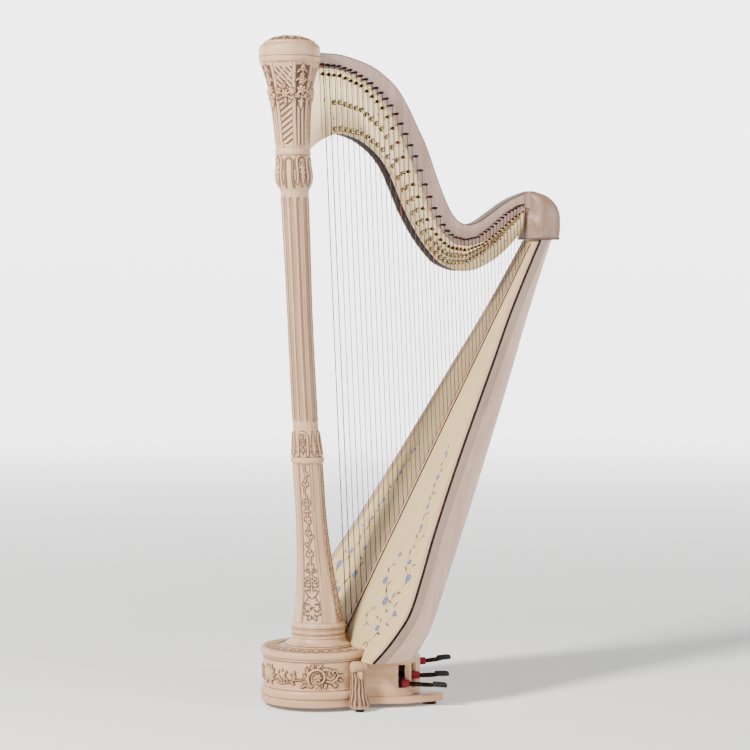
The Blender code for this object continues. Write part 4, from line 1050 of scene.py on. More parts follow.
def carve_drum(r, h):
    """Half of the drum's carving, from its front centre: a palmette, thin sprays and a leafy scroll."""
    r.leaf(0.0, 0.0800, 90, 0.0440, 0.0200, h, 5)
    for angle, length in ((62, 0.036), (38, 0.033), (8, 0.030), (-22, 0.026)):
        r.leaf(0.0030, 0.0900, angle, length, 0.0130, h, 3, 0.15)
    r.leaf(0.0030, 0.0900, -60, 0.0240, 0.0110, h, 2)
    r.flower(0.0, 0.0920, 0.0100, h * 1.2, 6)
    spray = [(0.0330, 0.0800), (0.0520, 0.0760), (0.0740, 0.0800), (0.0960, 0.0880), (0.1180, 0.0900)]
    r.stem(spray, 0.0030, h * 0.7)
    for u, v, angle, length in ((0.0560, 0.0770, 118, 0.030), (0.0600, 0.0770, 70, 0.030),
                                (0.0740, 0.0800, 100, 0.016), (0.0900, 0.0860, 55, 0.020),
                                (0.0830, 0.0840, -40, 0.016), (0.0450, 0.0780, 150, 0.018)):
        r.leaf(u, v, angle, length, 0.0075, h * 0.8, 0, 0.15)
    for u, v in ((0.0430, 0.1080), (0.0560, 0.1130), (0.0710, 0.1080), (0.0840, 0.1020), (0.0960, 0.1090)):
        r.berry(u, v, 0.0026, h * 0.8)
    middle = (0.1610, 0.0960)
    r.stem(arc(*middle, 0.0280, 215, -160, 40, 0.42), 0.0078, h * 1.25, 0.6)
    r.flower(middle[0], middle[1], 0.0120, h * 1.4, 6)
    for turn, length, spread in ((200, 0.026, -60), (165, 0.024, -50), (130, 0.024, -45), (95, 0.022, -45),
                                 (60, 0.021, -50), (-30, 0.022, -55), (-70, 0.024, -50), (-115, 0.022, -60)):
        a = math.radians(turn)
        u, v = middle[0] + 0.0250 * math.cos(a), middle[1] + 0.0250 * math.sin(a)
        r.leaf(u, v, turn + spread, length, 0.0115, h, 3, -0.2)
    r.leaf(0.1330, 0.0780, 200, 0.0220, 0.0100, h, 3, 0.2)
    r.leaf(0.1350, 0.0820, 165, 0.0200, 0.0090, h, 2)
    tail = [(0.1860, 0.0860), (0.2000, 0.0820), (0.2120, 0.0900), (0.2180, 0.1020), (0.2120, 0.1120)]
    r.stem(tail, 0.0060, h * 1.1, 0.6)
    r.stem(arc(0.2080, 0.1080, 0.0090, 20, 300, 16, 0.35), 0.0050, h * 1.1, 0.7)
    for u, v, angle, length in ((0.1980, 0.0830, -40, 0.024), (0.2050, 0.0850, -80, 0.020),
                                (0.2160, 0.0980, 10, 0.020), (0.2020, 0.1120, 140, 0.020),
                                (0.1960, 0.0960, 100, 0.024), (0.2170, 0.0920, -30, 0.020)):
        r.leaf(u, v, angle, length, 0.0100, h, 3, 0.15)


def make_drum():
    """The carved round front of the base: its wall and the leafy top on which the column stands."""
    low = [(0.1565, 0.0342), (0.1592, 0.0356), (0.1600, 0.0400), (0.1600, 0.0460), (0.1594, 0.0510),
           (0.1572, 0.0545), (0.1536, 0.0568), (0.1524, 0.0582), (0.1530, 0.0592), (0.1538, 0.0606),
           (0.1534, 0.0622), (0.1522, 0.0632)]
    wall_z = np.linspace(0.0640, 0.1375, 68)
    high = [(0.1522, 0.1382), (0.1534, 0.1390), (0.1538, 0.1402), (0.1532, 0.1414), (0.1526, 0.1424),
            (0.1534, 0.1434), (0.1556, 0.1452), (0.1582, 0.1480), (0.1597, 0.1515), (0.1600, 0.1550),
            (0.1592, 0.1590), (0.1574, 0.1622), (0.1552, 0.1640)]
    inner = [(0.1395, 0.1000), (0.1395, 0.0342)]
    turn = np.radians(np.linspace(76.0, 284.0, 470))[:, None]
    from_front = np.abs(turn - math.pi) * 0.152
    r = Relief(from_front, wall_z[None, :] + 0.0 * turn)
    carve_drum(r, 0.0066)
    parts = []
    shadows = []
    for profile in (low, None, [(0.1522, 0.1382), (0.1395, 0.1382)], inner):
        if profile is None:
            radius, z = 0.1520 + r.height, wall_z[None, :]
            # Painted shade in the hollows of the wall's carving.
            mark = hollow_mark(r.height, 0.0002, 0.0034) * groove_near(r)
        else:
            radius, z = (np.array(c)[None, :] for c in zip(*profile))
            # Painted shade in the turned lines of the mouldings.
            mark = 0.0 * turn + np.isin(z, (0.0582, 0.1424, 0.0640, 0.1382)) * 0.8
        parts.append(np.stack(np.broadcast_arrays(radius * np.cos(turn), radius * np.sin(turn), z), axis=-1))
        shadows.append(np.broadcast_to(mark, parts[-1].shape[:2]))
    rows = np.concatenate(parts, axis=1)
    carve = np.concatenate(shadows, axis=1)
    wall = finish_mesh("base_drum", *tube_data(rows), M["base"], slot="pale_wood", carve=carve, smooth=60)
    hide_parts("base_body")
    turn = even_turn(256)
    around_rim = [(0.1395, 0.1342), (0.1522, 0.1342)] + high + [(0.1395, 0.1640)]
    rows = [np.column_stack([r * np.cos(turn), r * np.sin(turn), 0 * turn + z]) for r, z in around_rim]
    # Painted shade in the two turned lines of the rim.
    carve = np.stack([0 * turn + 0.8 * (z in (0.1382, 0.1424)) for _, z in around_rim])
    points = np.stack(rows).reshape(-1, 3)
    faces = grid_faces(len(rows), len(turn))
    last = (len(rows) - 1) * len(turn)
    faces += [(i, (i + 1) % len(turn), last + (i + 1) % len(turn), last + i) for i in range(len(turn))]
    finish_mesh("base_drum_rim", points, faces, M["base"], slot="pale_wood", carve=carve, smooth=60)
    radius = np.concatenate([[0.0200, 0.0210], np.linspace(0.0980, 0.1545, 50), [0.1550, 0.1550, 0.0205]])[:, None]
    turn = even_turn(480)
    ring = Relief(around(turn, 0.1270, 0.0, 12.0), radius + 0.0 * turn)
    ring.leaf(-0.0110, 0.1090, 60, 0.0400, 0.0150, 0.0040, 4, 0.15)
    ring.leaf(0.0070, 0.1430, 235, 0.0300, 0.0100, 0.0036, 3, 0.15)
    ring.berry(-0.0060, 0.1420, 0.0040, 0.0036)
    ring.berry(0.0100, 0.1130, 0.0034, 0.0032)
    height = ring.height
    x = radius * np.cos(turn)
    clear = np.clip((BOARD_FOOT[0] - 0.0385 - x) / 0.0040, 0.0, 1.0) * (radius > 0.1040) * (radius < 0.1500)
    height = height * clear
    z = 0.1650 + height
    z = np.where(np.arange(len(radius))[:, None] >= len(radius) - 2, 0.1530, z)
    rows = np.stack(np.broadcast_arrays(x, radius * np.sin(turn), z), axis=-1)
    # Painted shade round the carved leaves of the top and in its two turned lines.
    carve = np.maximum(hollow_mark(height, 0.0, 0.0026) * groove_near(ring) * clear,
                       groove(radius - 0.1035, 0.0014) + 0.0 * turn)
    carve = np.maximum(carve, groove(radius - 0.1508, 0.0010) * 0.8)
    points = rows.reshape(-1, 3)
    faces = grid_faces(len(radius), len(turn))
    last = (len(radius) - 1) * len(turn)
    faces += [(i, (i + 1) % len(turn), last + (i + 1) % len(turn), last + i) for i in range(len(turn))]
    finish_mesh("base_drum_top", points, faces, M["base"], slot="pale_wood", carve=np.clip(carve, 0, 1), smooth=60)


def slot_rings(bend, row, slot):
    """A cutter for one pedal's slot in the base's rear wall."""
    way = Vector((slot[0] - bend, slot[1] - row)).normalized()
    side = Vector((-way.y, way.x)) * 0.0105
    inner, outer = Vector(slot) - way * 0.050, Vector(slot) + way * 0.030
    outline = [tuple(p) for p in (inner - side, outer - side, outer + side, inner + side)]
    reach = (slot[0] - HINGE[0]) * math.sin(math.radians(HALF_STEP)) + 0.0130
    top = min(HINGE[1] + reach, PEDAL_BOX_TOP - 0.0065)
    return plan_prism(outline, HINGE[1] - reach, top)


def make_pedal_box():
    """The rear of the base: a thin curved wall with a notched slot for each pedal, and its top."""
    outline = rounded(mirrored(PEDAL_BOX[1:]), 180)
    box = finish_mesh("pedal_box", *tube_data(plan_prism(outline, BASE_Z[0] + 0.0002, PEDAL_BOX_TOP)),
                      M["base"], slot="pale_wood")
    inner = moved_in(outline, 0.009)
    inner = np.vstack([[(-0.1, inner[0][1])], inner, [(-0.1, inner[-1][1])]])
    cut(box, plan_prism(inner, 0.0, PEDAL_BOX_TOP - 0.006))
    hub = circle((0.0, 0.0, 0.0), (0, 0, 1), DRUM_R - 0.0005, 96)[:, :2]
    cut(box, plan_prism(hub, 0.0, 0.2))
    for name, row, bend, slot, tip, rest in PEDALS:
        cut(box, slot_rings(bend, row, slot))
    shade(box)


def make_bottom_board():
    """The board under the base, with rounded edges."""
    outline = rounded(mirrored(BOARD_OUTLINE), 220, closed=True)
    board = finish_mesh("bottom_board", *tube_data(plan_prism(outline, *BOARD_Z)), M["base"], slot="pale_wood")
    bevel(board, 0.0035, 4, 50)
    shade(board, 50)
    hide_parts("base_bottom_board")


def make_scroll_foot(name, side):
    """A scrolled acanthus foot: strands down its front, leaf tips at its toe and a volute on top."""
    table = [
        (0.0085, 0.0200, 0.0170, 0.178), (0.0120, 0.0265, 0.0225, 0.1775), (0.0220, 0.0295, 0.0250, 0.176),
        (0.0380, 0.0285, 0.0240, 0.174), (0.0500, 0.0268, 0.0222, 0.172), (0.0700, 0.0240, 0.0200, 0.169),
        (0.0900, 0.0222, 0.0195, 0.167), (0.1120, 0.0212, 0.0175, 0.163), (0.1280, 0.0195, 0.0150, 0.160),
        (0.1350, 0.0160, 0.0125, 0.158), (0.1370, 0.0110, 0.0090, 0.157),
    ]
    z = np.linspace(0.0085, 0.1370, 120)[:, None]
    wide, deep, out = (smooth_table([(row[0], row[k]) for row in table], z) for k in (1, 2, 3))
    turn = even_turn(150)
    sway = 0.9 * np.sin(z * 60.0) + 0.5 * np.sin(z * 131.0 + 3 * turn)
    strands = 0.5 + 0.5 * np.cos(13 * turn + sway) * (0.75 + 0.25 * np.sin(5 * turn + z * 90.0))
    depth = 0.0036 * (1 - strands) ** 1.5 * np.clip((z - 0.012) / 0.010, 0, 1) * np.clip((0.130 - z) / 0.01, 0, 1)
    toes = 0.0035 * np.abs(np.cos(3.5 * turn)) * np.exp(-((z - 0.020) / 0.012) ** 2)
    r_wide, r_deep = wide - depth + toes - 0.0015, deep - depth + toes - 0.0015
    rows = np.stack(np.broadcast_arrays(0.033 + r_wide * np.cos(turn), side * out + r_deep * np.sin(turn), z), axis=-1)
    # Painted shade in the grooves between the strands.
    carve = np.clip(depth / 0.0030, 0, 1) ** 0.7 * 0.95
    foot = finish_mesh("scroll_foot_" + name, *tube_data(rows), M["base"], slot="pale_wood", carve=carve, smooth=70)
    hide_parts("front_foot_" + name)
    coil = Pieces()
    roll = [(-0.0215, 0.0110), (-0.0205, 0.0128), (-0.0150, 0.0132), (-0.0142, 0.0118), (-0.0130, 0.0116),
            (-0.0110, 0.0128), (-0.0020, 0.0118), (0.0, 0.0112)]
    roll = roll + [(-at, r) for at, r in reversed(roll[:-1])]
    coil.add(turned((0.033, side * 0.1705, 0.1225), (1, 0, 0), roll, 44))
    for end in (-1, 1):
        for low, high, r in ((0.0205, 0.0222, 0.0092), (0.0215, 0.0232, 0.0050)):
            coil.add(turned((0.033, side * 0.1705, 0.1225), (end, 0, 0), [(low, r), (high - 0.0004, r),
                                                                         (high, r * 0.85)], 36))
    for bead in range(3):
        z_at = 0.1050 - bead * 0.0056
        coil.add(turned((0.033, side * 0.1865, z_at), (0, side, -0.2),
                        [(-0.010, 0.0062 - bead * 0.0010), (-0.001, 0.0058 - bead * 0.0010), (0.0025, 0.0040), (0.004, 0.0008)], 18))
    coil.object("foot_volute_" + name, M["base"], slot="pale_wood", smooth=40)
    pad = turned((0.033, side * 0.180, 0.0), (0, 0, 1), [(0.0, 0.0105), (0.001, 0.0120), (0.0075, 0.0122),
                                                         (0.0084, 0.0115)], 28)
    finish_mesh("foot_pad_" + name, *tube_data(pad), M["rubber"], slot="rubber")


# ---------------------------------------------------------------- soundbox

RIM_DEPTH = 0.0270


def shell_ring(s, inset, front, rim):
    """A D-shaped ring of the soundbox at a place along the board; the rim beside the board stands a little proud."""
    half = smooth_table(BOARD_HALF, s) - inset
    deep = smooth_table(BOX_DEPTH, s) - inset
    lifts = np.clip(np.array([0.0, 0.008, 0.016, 0.0262, 0.0270]) / (deep - front), 0.0, 0.95)
    first = np.arcsin(lifts ** (1 / 0.85))
    turn = np.concatenate([first, np.linspace(first[-1], math.pi / 2, 16)[1:]])
    turn = np.concatenate([turn, math.pi - turn[-2::-1]])
    lift = np.sin(turn) ** 0.85
    depth = front + (deep - front) * lift
    side = -half * np.cos(turn)
    if rim:
        step = np.where(depth - front > 0.0266, 0.0012, 0.0)
        side = side - np.sign(side) * step * (np.abs(side) > 0.02)
    return board_point(s, side, depth)


def hole_rings(s, half_y, half_s, low, high):
    """Rings of an oval across the shell's back, between two depths past its surface."""
    deep = float(smooth_table(BOX_DEPTH, s))
    turn = even_turn(40)
    return [board_point(s + half_s * np.sin(turn), half_y * np.cos(turn), deep + at) for at in (low, high)]


def make_shell():
    """The rounded soundbox with its beige rim band, darker than the shell as painted shade, open sound holes behind,
    and inside wall.
    """
    front = BOARD_THICK + 0.0004
    places = np.linspace(-0.12, 1.36, 80)
    shell = finish_mesh("soundbox", *tube_data([shell_ring(s, 0.0, front, True) for s in places]),
                        [M["box"], M["rim"]], slot="pale_wood")
    inner = [shell_ring(s, BOX_WALL, front - 0.02, False) for s in np.linspace(-0.16, 1.255, 40)]
    cavity = finish_mesh("cavity", *tube_data(inner), [], ride=False)
    block = [(-1, -1), (1, -1), (1, 1), (-1, 1)]
    cut(cavity, plan_prism(block, -1.0, BOX_FOOT_Z + BOX_WALL))
    modifier = shell.modifiers.new("Cut", "BOOLEAN")
    modifier.solver = "EXACT"
    modifier.operation = "DIFFERENCE"
    modifier.object = cavity
    keep_modifiers(shell)
    bpy.data.objects.remove(cavity)
    cut(shell, plan_prism(block, -1.0, BOX_FOOT_Z))
    cut(shell, plan_prism(circle((0, 0, 0), (0, 0, 1), DRUM_R + 0.0004, 96)[:, :2], 0.0, BASE_Z[1] + 0.0004))
    cut(shell, plan_prism(block, SHOULDER_Z, 3.0))
    for s, half_y, half_s in SOUND_HOLES:
        cut(shell, hole_rings(s, half_y, half_s, -0.045, 0.03))
    # Faces of the rim band beside the board get the darker rim wood: painted shade.
    sin, cos = math.sin(BOARD_LEAN), math.cos(BOARD_LEAN)
    for face in shell.data.polygons:
        x, _, z = face.center
        depth = (x - SHIFT - BOARD_FOOT[0]) * cos - (z - BOARD_FOOT[1]) * sin
        face.material_index = 1 if depth < front + RIM_DEPTH - 0.0004 else 0
    shade(shell, 35)
    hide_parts("soundbox_shell")


def half_at(s):
    """The soundboard's half width."""
    return smooth_table(BOARD_HALF, s)


def make_soundboard():
    """The soundboard with its pink border, dark lines and dark edge."""
    places = np.linspace(-0.12, 1.33, 150)
    half = half_at(places)
    rings = []
    for depth in (0.0, BOARD_THICK):
        near = board_point(places, -half, depth)
        far = board_point(places[::-1], half[::-1], depth)
        rings.append(np.vstack([near, far]))
    board = finish_mesh("soundboard_spruce", *tube_data(rings), [M["board"], M["edge"]], slot="soundboard_wood")
    block = [(-1, -1), (1, -1), (1, 1), (-1, 1)]
    cut(board, plan_prism(block, -1.0, BOX_FOOT_Z))
    cut(board, plan_prism(circle((0, 0, 0), (0, 0, 1), DRUM_R + 0.0004, 96)[:, :2], 0.0, BASE_Z[1] + 0.0004))
    cut(board, plan_prism(block, SHOULDER_Z, 3.0))
    for face in board.data.polygons:
        face.material_index = 1 if abs(face.normal.y) > 0.5 else 0
    shade(board, 30)
    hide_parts("soundboard")
    low, high = -0.0845, 1.2600
    s = np.linspace(low, high, 130)
    trims = Pieces()
    for side in (-1, 1):
        for outer, inner, lift, mark in ((0.0001, 0.0034, 0.0012, 1), (0.0036, 0.0170, 0.0010, 0), (0.0172, 0.0179, 0.0005, 1)):
            a, b = side * (half_at(s) - outer), side * (half_at(s) - inner)
            rings = np.stack([board_point(s, a, 0.0), board_point(s, b, 0.0), board_point(s, b, -lift),
                              board_point(s, a, -lift)], axis=1)
            trims.add(rings, mark=mark)
    trims.object("board_border", [M["border"], M["edge"]], slot="pale_wood", smooth=30)


class Painting:
    """Thin painted shapes on the soundboard, from places along it and across it."""

    def __init__(self):
        self.pieces = Pieces()

    def shape(self, outline, lift, mark):
        """A flat shape inside an outline of (along, across)."""
        outline = np.asarray(outline)
        self.pieces.add([board_point(outline[:, 0], outline[:, 1], depth) for depth in (-0.00002, -lift)], mark=mark)

    def leaf(self, s, y, angle, length, width, mark=0, bend=0.0):
        """A pointed leaf; an angle of 0 points up the board and 90 to +Y."""
        c, d = math.cos(math.radians(angle)), math.sin(math.radians(angle))
        along = np.linspace(0.0, 1.0, 9)
        swell = np.sin(np.pi * along ** 0.85) * width / 2
        middle = bend * length * along * along
        u = np.concatenate([along, along[-2:0:-1]]) * length
        v = np.concatenate([middle + swell, (middle - swell)[-2:0:-1]])
        self.shape(np.column_stack([s + u * c - v * d, y + u * d + v * c]), 0.00022, mark)

    def stem(self, points, width, mark=1):
        """A thin stem through points."""
        path = rounded(points, 8 * len(points))
        along = np.gradient(path, axis=0)
        along /= np.linalg.norm(along, axis=1)[:, None]
        side = np.column_stack([-along[:, 1], along[:, 0]])
        thick = width / 2 * np.linspace(1.0, 0.45, len(path))[:, None]
        self.shape(np.vstack([path + side * thick, (path - side * thick)[::-1]]), 0.00014, mark)

    def flower(self, s, y, radius, turn=0.0, petals=5):
        """An open flower: paired petals round a pale throat and a heart."""
        for i in range(petals):
            angle = turn + 360.0 * i / petals
            a = math.radians(angle)
            for spread in (-15, 15):
                self.petal(s, y, angle + spread, radius, radius * 0.62, 2, 0.00034 + 0.00004 * (i % 2))
            self.petal(s + math.cos(a) * radius * 0.1, y + math.sin(a) * radius * 0.1, angle, radius * 0.62,
                       radius * 0.30, 3, 0.00044)
        around_heart = even_turn(14)
        self.shape(np.column_stack([s + radius * 0.17 * np.cos(around_heart),
                                    y + radius * 0.17 * np.sin(around_heart)]), 0.00056, 4)

    def petal(self, s, y, angle, length, width, mark, lift):
        """One round-ended petal."""
        c, d = math.cos(math.radians(angle)), math.sin(math.radians(angle))
        turn = even_turn(14)
        grow = 0.5 + 0.5 * np.cos(turn)
        u = length * grow
        v = width / 2 * np.sin(turn) * (0.45 + 0.75 * grow)
        self.shape(np.column_stack([s + u * c - v * d, y + u * d + v * c]), lift, mark)


def make_painting():
    """Fine painted garlands with small blue flowers, on both sides of the string line."""
    art = Painting()
    for side in (-1, 1):
        stems = [
            [(-0.040, 0.120), (-0.022, 0.150), (0.005, 0.165), (0.032, 0.158), (0.046, 0.135)],
            [(0.020, 0.110), (0.030, 0.085), (0.052, 0.078), (0.070, 0.095), (0.062, 0.118)],
            [(0.030, 0.185), (0.060, 0.200), (0.085, 0.190), (0.095, 0.160), (0.097, 0.134)],
            [(0.062, 0.160), (0.085, 0.150), (0.110, 0.160), (0.140, 0.182), (0.175, 0.190), (0.215, 0.178)],
            [(0.097, 0.134), (0.130, 0.115), (0.156, 0.088), (0.190, 0.080), (0.230, 0.092)],
            [(0.175, 0.190), (0.200, 0.160), (0.235, 0.145), (0.280, 0.140), (0.330, 0.132), (0.380, 0.122)],
            [(0.280, 0.140), (0.300, 0.160), (0.335, 0.158), (0.360, 0.146)],
            [(0.380, 0.122), (0.430, 0.112), (0.480, 0.100), (0.530, 0.090), (0.580, 0.082)],
            [(0.230, 0.092), (0.270, 0.088), (0.320, 0.098)],
        ]
        for line in stems:
            art.stem([(s, side * y) for s, y in line], 0.0018)
        for s, y, radius, turn in (
            (0.175, 0.190, 0.0125, 10), (0.156, 0.084, 0.0115, 40), (0.097, 0.132, 0.0130, 0),
            (0.222, 0.160, 0.0085, 25), (0.016, 0.155, 0.0090, 50), (0.067, 0.205, 0.0095, 15),
            (0.238, 0.096, 0.0075, 30), (0.330, 0.134, 0.0075, 5), (0.392, 0.120, 0.0070, 45),
            (0.484, 0.100, 0.0075, 20), (0.560, 0.085, 0.0065, 0),
        ):
            art.flower(s, side * y, radius, side * turn)
        leaves = [
            (-0.040, 0.122, 60, 0.020), (-0.030, 0.142, 150, 0.018), (-0.010, 0.160, 20, 0.020),
            (0.004, 0.165, 110, 0.022), (0.030, 0.158, -20, 0.020), (0.044, 0.140, -80, 0.018),
            (0.024, 0.098, -120, 0.017), (0.040, 0.080, -50, 0.020), (0.062, 0.086, 30, 0.018),
            (0.036, 0.188, 120, 0.020), (0.060, 0.200, 70, 0.024), (0.084, 0.190, 10, 0.022),
            (0.094, 0.165, -60, 0.020), (0.072, 0.154, 100, 0.020), (0.108, 0.160, -10, 0.024),
            (0.125, 0.170, 80, 0.022), (0.150, 0.186, 20, 0.024), (0.120, 0.120, -50, 0.024),
            (0.140, 0.104, 30, 0.022), (0.180, 0.080, -40, 0.022), (0.200, 0.082, 50, 0.020),
            (0.195, 0.166, -50, 0.022), (0.212, 0.180, 60, 0.020), (0.240, 0.145, -30, 0.022),
            (0.262, 0.142, 50, 0.020), (0.292, 0.140, -40, 0.020), (0.302, 0.160, 70, 0.016),
            (0.310, 0.136, 40, 0.020), (0.350, 0.130, -35, 0.020), (0.366, 0.126, 45, 0.018),
            (0.410, 0.116, -30, 0.018), (0.430, 0.112, 50, 0.020), (0.452, 0.106, -40, 0.018),
            (0.500, 0.096, 45, 0.018), (0.518, 0.092, -35, 0.018), (0.545, 0.088, 40, 0.016),
            (0.574, 0.083, -20, 0.016),
        ]
        for number, (s, y, angle, length) in enumerate(leaves):
            art.leaf(s, side * y, side * angle, length, length * 0.26, number % 2,
                     side * (0.16 if number % 3 else -0.16))
    art.pieces.object("board_painting", [M["green"], M["stalk"], M["petal"], M["petal_pale"], M["heart"]],
                      slot="soundboard_wood", smooth=30)


# ---------------------------------------------------------------- strings

def string_place(k):
    """Where string k leaves the soundboard: along it, depth and height."""
    a, b, c = SPACING
    s = a * k - b * k * k + c * k ** 3
    x, _, z = board_point(s)
    return s, float(x), float(z)


def string_x(k, z):
    """Depth of string k at a height."""
    _, x, foot = string_place(k)
    return x - STRING_LEAN * (z - foot)


def meet(k, line):
    """Where string k crosses a line of heights over depths."""
    z = 1.5
    for _ in range(30):
        z = float(between(line, string_x(k, z)))
    return string_x(k, z), z


def string_radius(k):
    """Half the thickness of string k."""
    if k < FIRST_DISC:
        return 0.00135
    return 0.00105 - 0.00020 * max(k - 8, 0) / (STRINGS - 9)


def disc_height(k, part):
    """Height of a disc a given part of the string's length below its nut."""
    _, _, foot = string_place(k)
    _, top = meet(k, NUT_LINE)
    return top - (top - foot) * part


def disc_radius(k, part):
    """Disc radius for string k, as large as its neighbours let it be."""
    _, _, foot = string_place(k)
    _, top = meet(k, NUT_LINE)
    z = disc_height(k, part)
    here = Vector((string_x(k, z), z))
    room = []
    for other in (k - 1, k + 1):
        z = disc_height(other, part)
        room.append((Vector((string_x(other, z), z)) - here).length)
    return min(0.0072, 0.0243 * (top - foot), 0.48 * min(room))


def make_strings():
    """The 47 strings: wound basses, red C strings, black F strings, and the walnut strip with their eyelets."""
    groups = {"wound": Pieces(), "gut": Pieces(), "red": Pieces(), "black": Pieces()}
    eyes = Pieces()
    for k in range(STRINGS):
        s, x, z = string_place(k)
        _, top = meet(k, PIN_LINE)
        kind = "wound" if k < WOUND else {"C": "red", "F": "black"}.get(NOTES[k % 7], "gut")
        foot = Vector((x, 0.0, z)) + Vector((-STRING_LEAN, 0.0, 1.0)) * 0.0030
        head = Vector((string_x(k, top), 0.0, top))
        groups[kind].add(pipe([foot, head], string_radius(k), 10))
        out = Vector((-math.cos(BOARD_LEAN), 0.0, math.sin(BOARD_LEAN)))
        r = 0.0032 if k < 30 else 0.0024
        eyes.add(turned(Vector((x, 0.0, z)) + out * 0.0030, out,
                        [(-0.001, r), (0.0006, r), (0.0010, r * 0.85), (0.0010, r * 0.5)], 14))
    slots = {"wound": "string", "gut": "string", "red": "string", "black": "string"}
    for name, group in groups.items():
        group.object("strings_" + name, M[name], slot=slots[name], smooth=60)
    eyes.object("string_eyelets", M["brass"], slot="brass")
    rings = []
    for s, half in ((-0.0300, 0.0100), (0.3, 0.0092), (0.8, 0.0078), (1.2500, 0.0058)):
        rings.append([board_point(s, -half, -0.0001), board_point(s, half, -0.0001),
                      board_point(s, half * 0.9, -0.0034), board_point(s, -half * 0.9, -0.0034)])
    strip = finish_mesh("string_strip", *tube_data(rings), [M["border"], M["walnut"]], slot="pale_wood")
    for face in strip.data.polygons:
        face.material_index = 1 if abs(face.normal.y) > 0.5 else 0
    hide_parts("string_band")


# ---------------------------------------------------------------- neck

def neck_outline(top, low, count=150):
    """A closed, smooth outline from an upper and a lower edge."""
    return np.vstack([rounded(top, count), rounded(low, count)[::-1]])


def make_neck():
    """The curved neck, dark walnut with painted shade on its underside where the strings pass, with a darker upper
    edge.
    """
    neck = finish_mesh("neck_wood", *tube_data(side_prism(neck_outline(NECK_TOP, NECK_LOW), *NECK_Y)),
                       [M["neck"], M["walnut"], M["crest"]], slot="pale_wood")
    bevel(neck, 0.0065, 4, 50)
    for face in neck.data.polygons:
        x = face.center[0] - SHIFT
        # Downward faces over the strings: dark walnut, made darker still as painted shade.
        if face.normal.z < -0.3 and 0.050 < x < 0.560:
            face.material_index = 1
        elif face.normal.z > 0.12 and abs(face.normal.y) < 0.97:
            face.material_index = 2
    shade(neck)
    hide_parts("neck")
    path = rounded([p for p in NECK_TOP], 130)
    along = np.gradient(path, axis=0)
    along /= np.linalg.norm(along, axis=1)[:, None]
    path = path - np.column_stack([-along[:, 1], along[:, 0]]) * 0.0026
    beads = Pieces()
    for y in (NECK_Y[0] + 0.0022, NECK_Y[1] - 0.0022):
        beads.add(pipe([(x, y, z) for x, z in path if x > 0.01], 0.0024, 8))
    beads.object("neck_edge_beads", M["crest"], slot="pale_wood", smooth=60)
    low = [(x, z - 0.001) for x, z in NECK_LOW[:-1]] + [(0.7065, 1.337)]
    outline = neck_outline(PLATE_TOP, low)
    for name, (near, far), face_y, out in (("left", PLATE_LEFT_Y, PLATE_LEFT_Y[0], -1),
                                           ("right", PLATE_RIGHT_Y, PLATE_RIGHT_Y[1], 1)):
        plate = finish_mesh("plate_" + name, *tube_data(side_prism(outline, near, far)), M["plate"], slot="plate")
        bevel(plate, 0.0007, 3, 50)
        shade(plate)
        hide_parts("action_plate_" + name)
        lines = Pieces()
        for inset, radius in ((0.0050, 0.00040), (0.0068, 0.00028)):
            for edge, down in ((PLATE_TOP, -1), (low, 1)):
                path = rounded(edge, 130)
                along = np.gradient(path, axis=0)
                along /= np.linalg.norm(along, axis=1)[:, None]
                moved = path + np.column_stack([-along[:, 1], along[:, 0]]) * inset * down
                moved = moved[moved[:, 0] > 0.000]
                lines.add(pipe([(x, face_y, z) for x, z in moved], radius, 6))
        lines.object("plate_lines_" + name, M["brass"], slot="brass", smooth=60)
        screws = Pieces()
        for x, z in ((0.030, 1.690), (0.060, 1.640), (0.150, 1.615), (0.205, 1.655), (0.255, 1.530), (0.290, 1.555),
                     (0.330, 1.350), (0.372, 1.330), (0.440, 1.238), (0.500, 1.229), (0.560, 1.243), (0.640, 1.300),
                     (0.690, 1.372), (0.110, 1.755), (0.225, 1.560)):
            screws.add(turned((x, face_y, z), (0, out, 0), [(-0.001, 0.0030), (0.0005, 0.0030), (0.0011, 0.0024),
                                                            (0.0013, 0.0012)], 16))
            screws.add([np.array([[x - 0.0024, face_y + out * at, z - 0.0004], [x + 0.0024, face_y + out * at, z - 0.0004],
                                  [x + 0.0024, face_y + out * at, z + 0.0004],
                                  [x - 0.0024, face_y + out * at, z + 0.0004]]) for at in (0.0005, 0.00145)], mark=1)
        screws.object("plate_screws_" + name, [M["steel"], M["black"]], slot="steel")


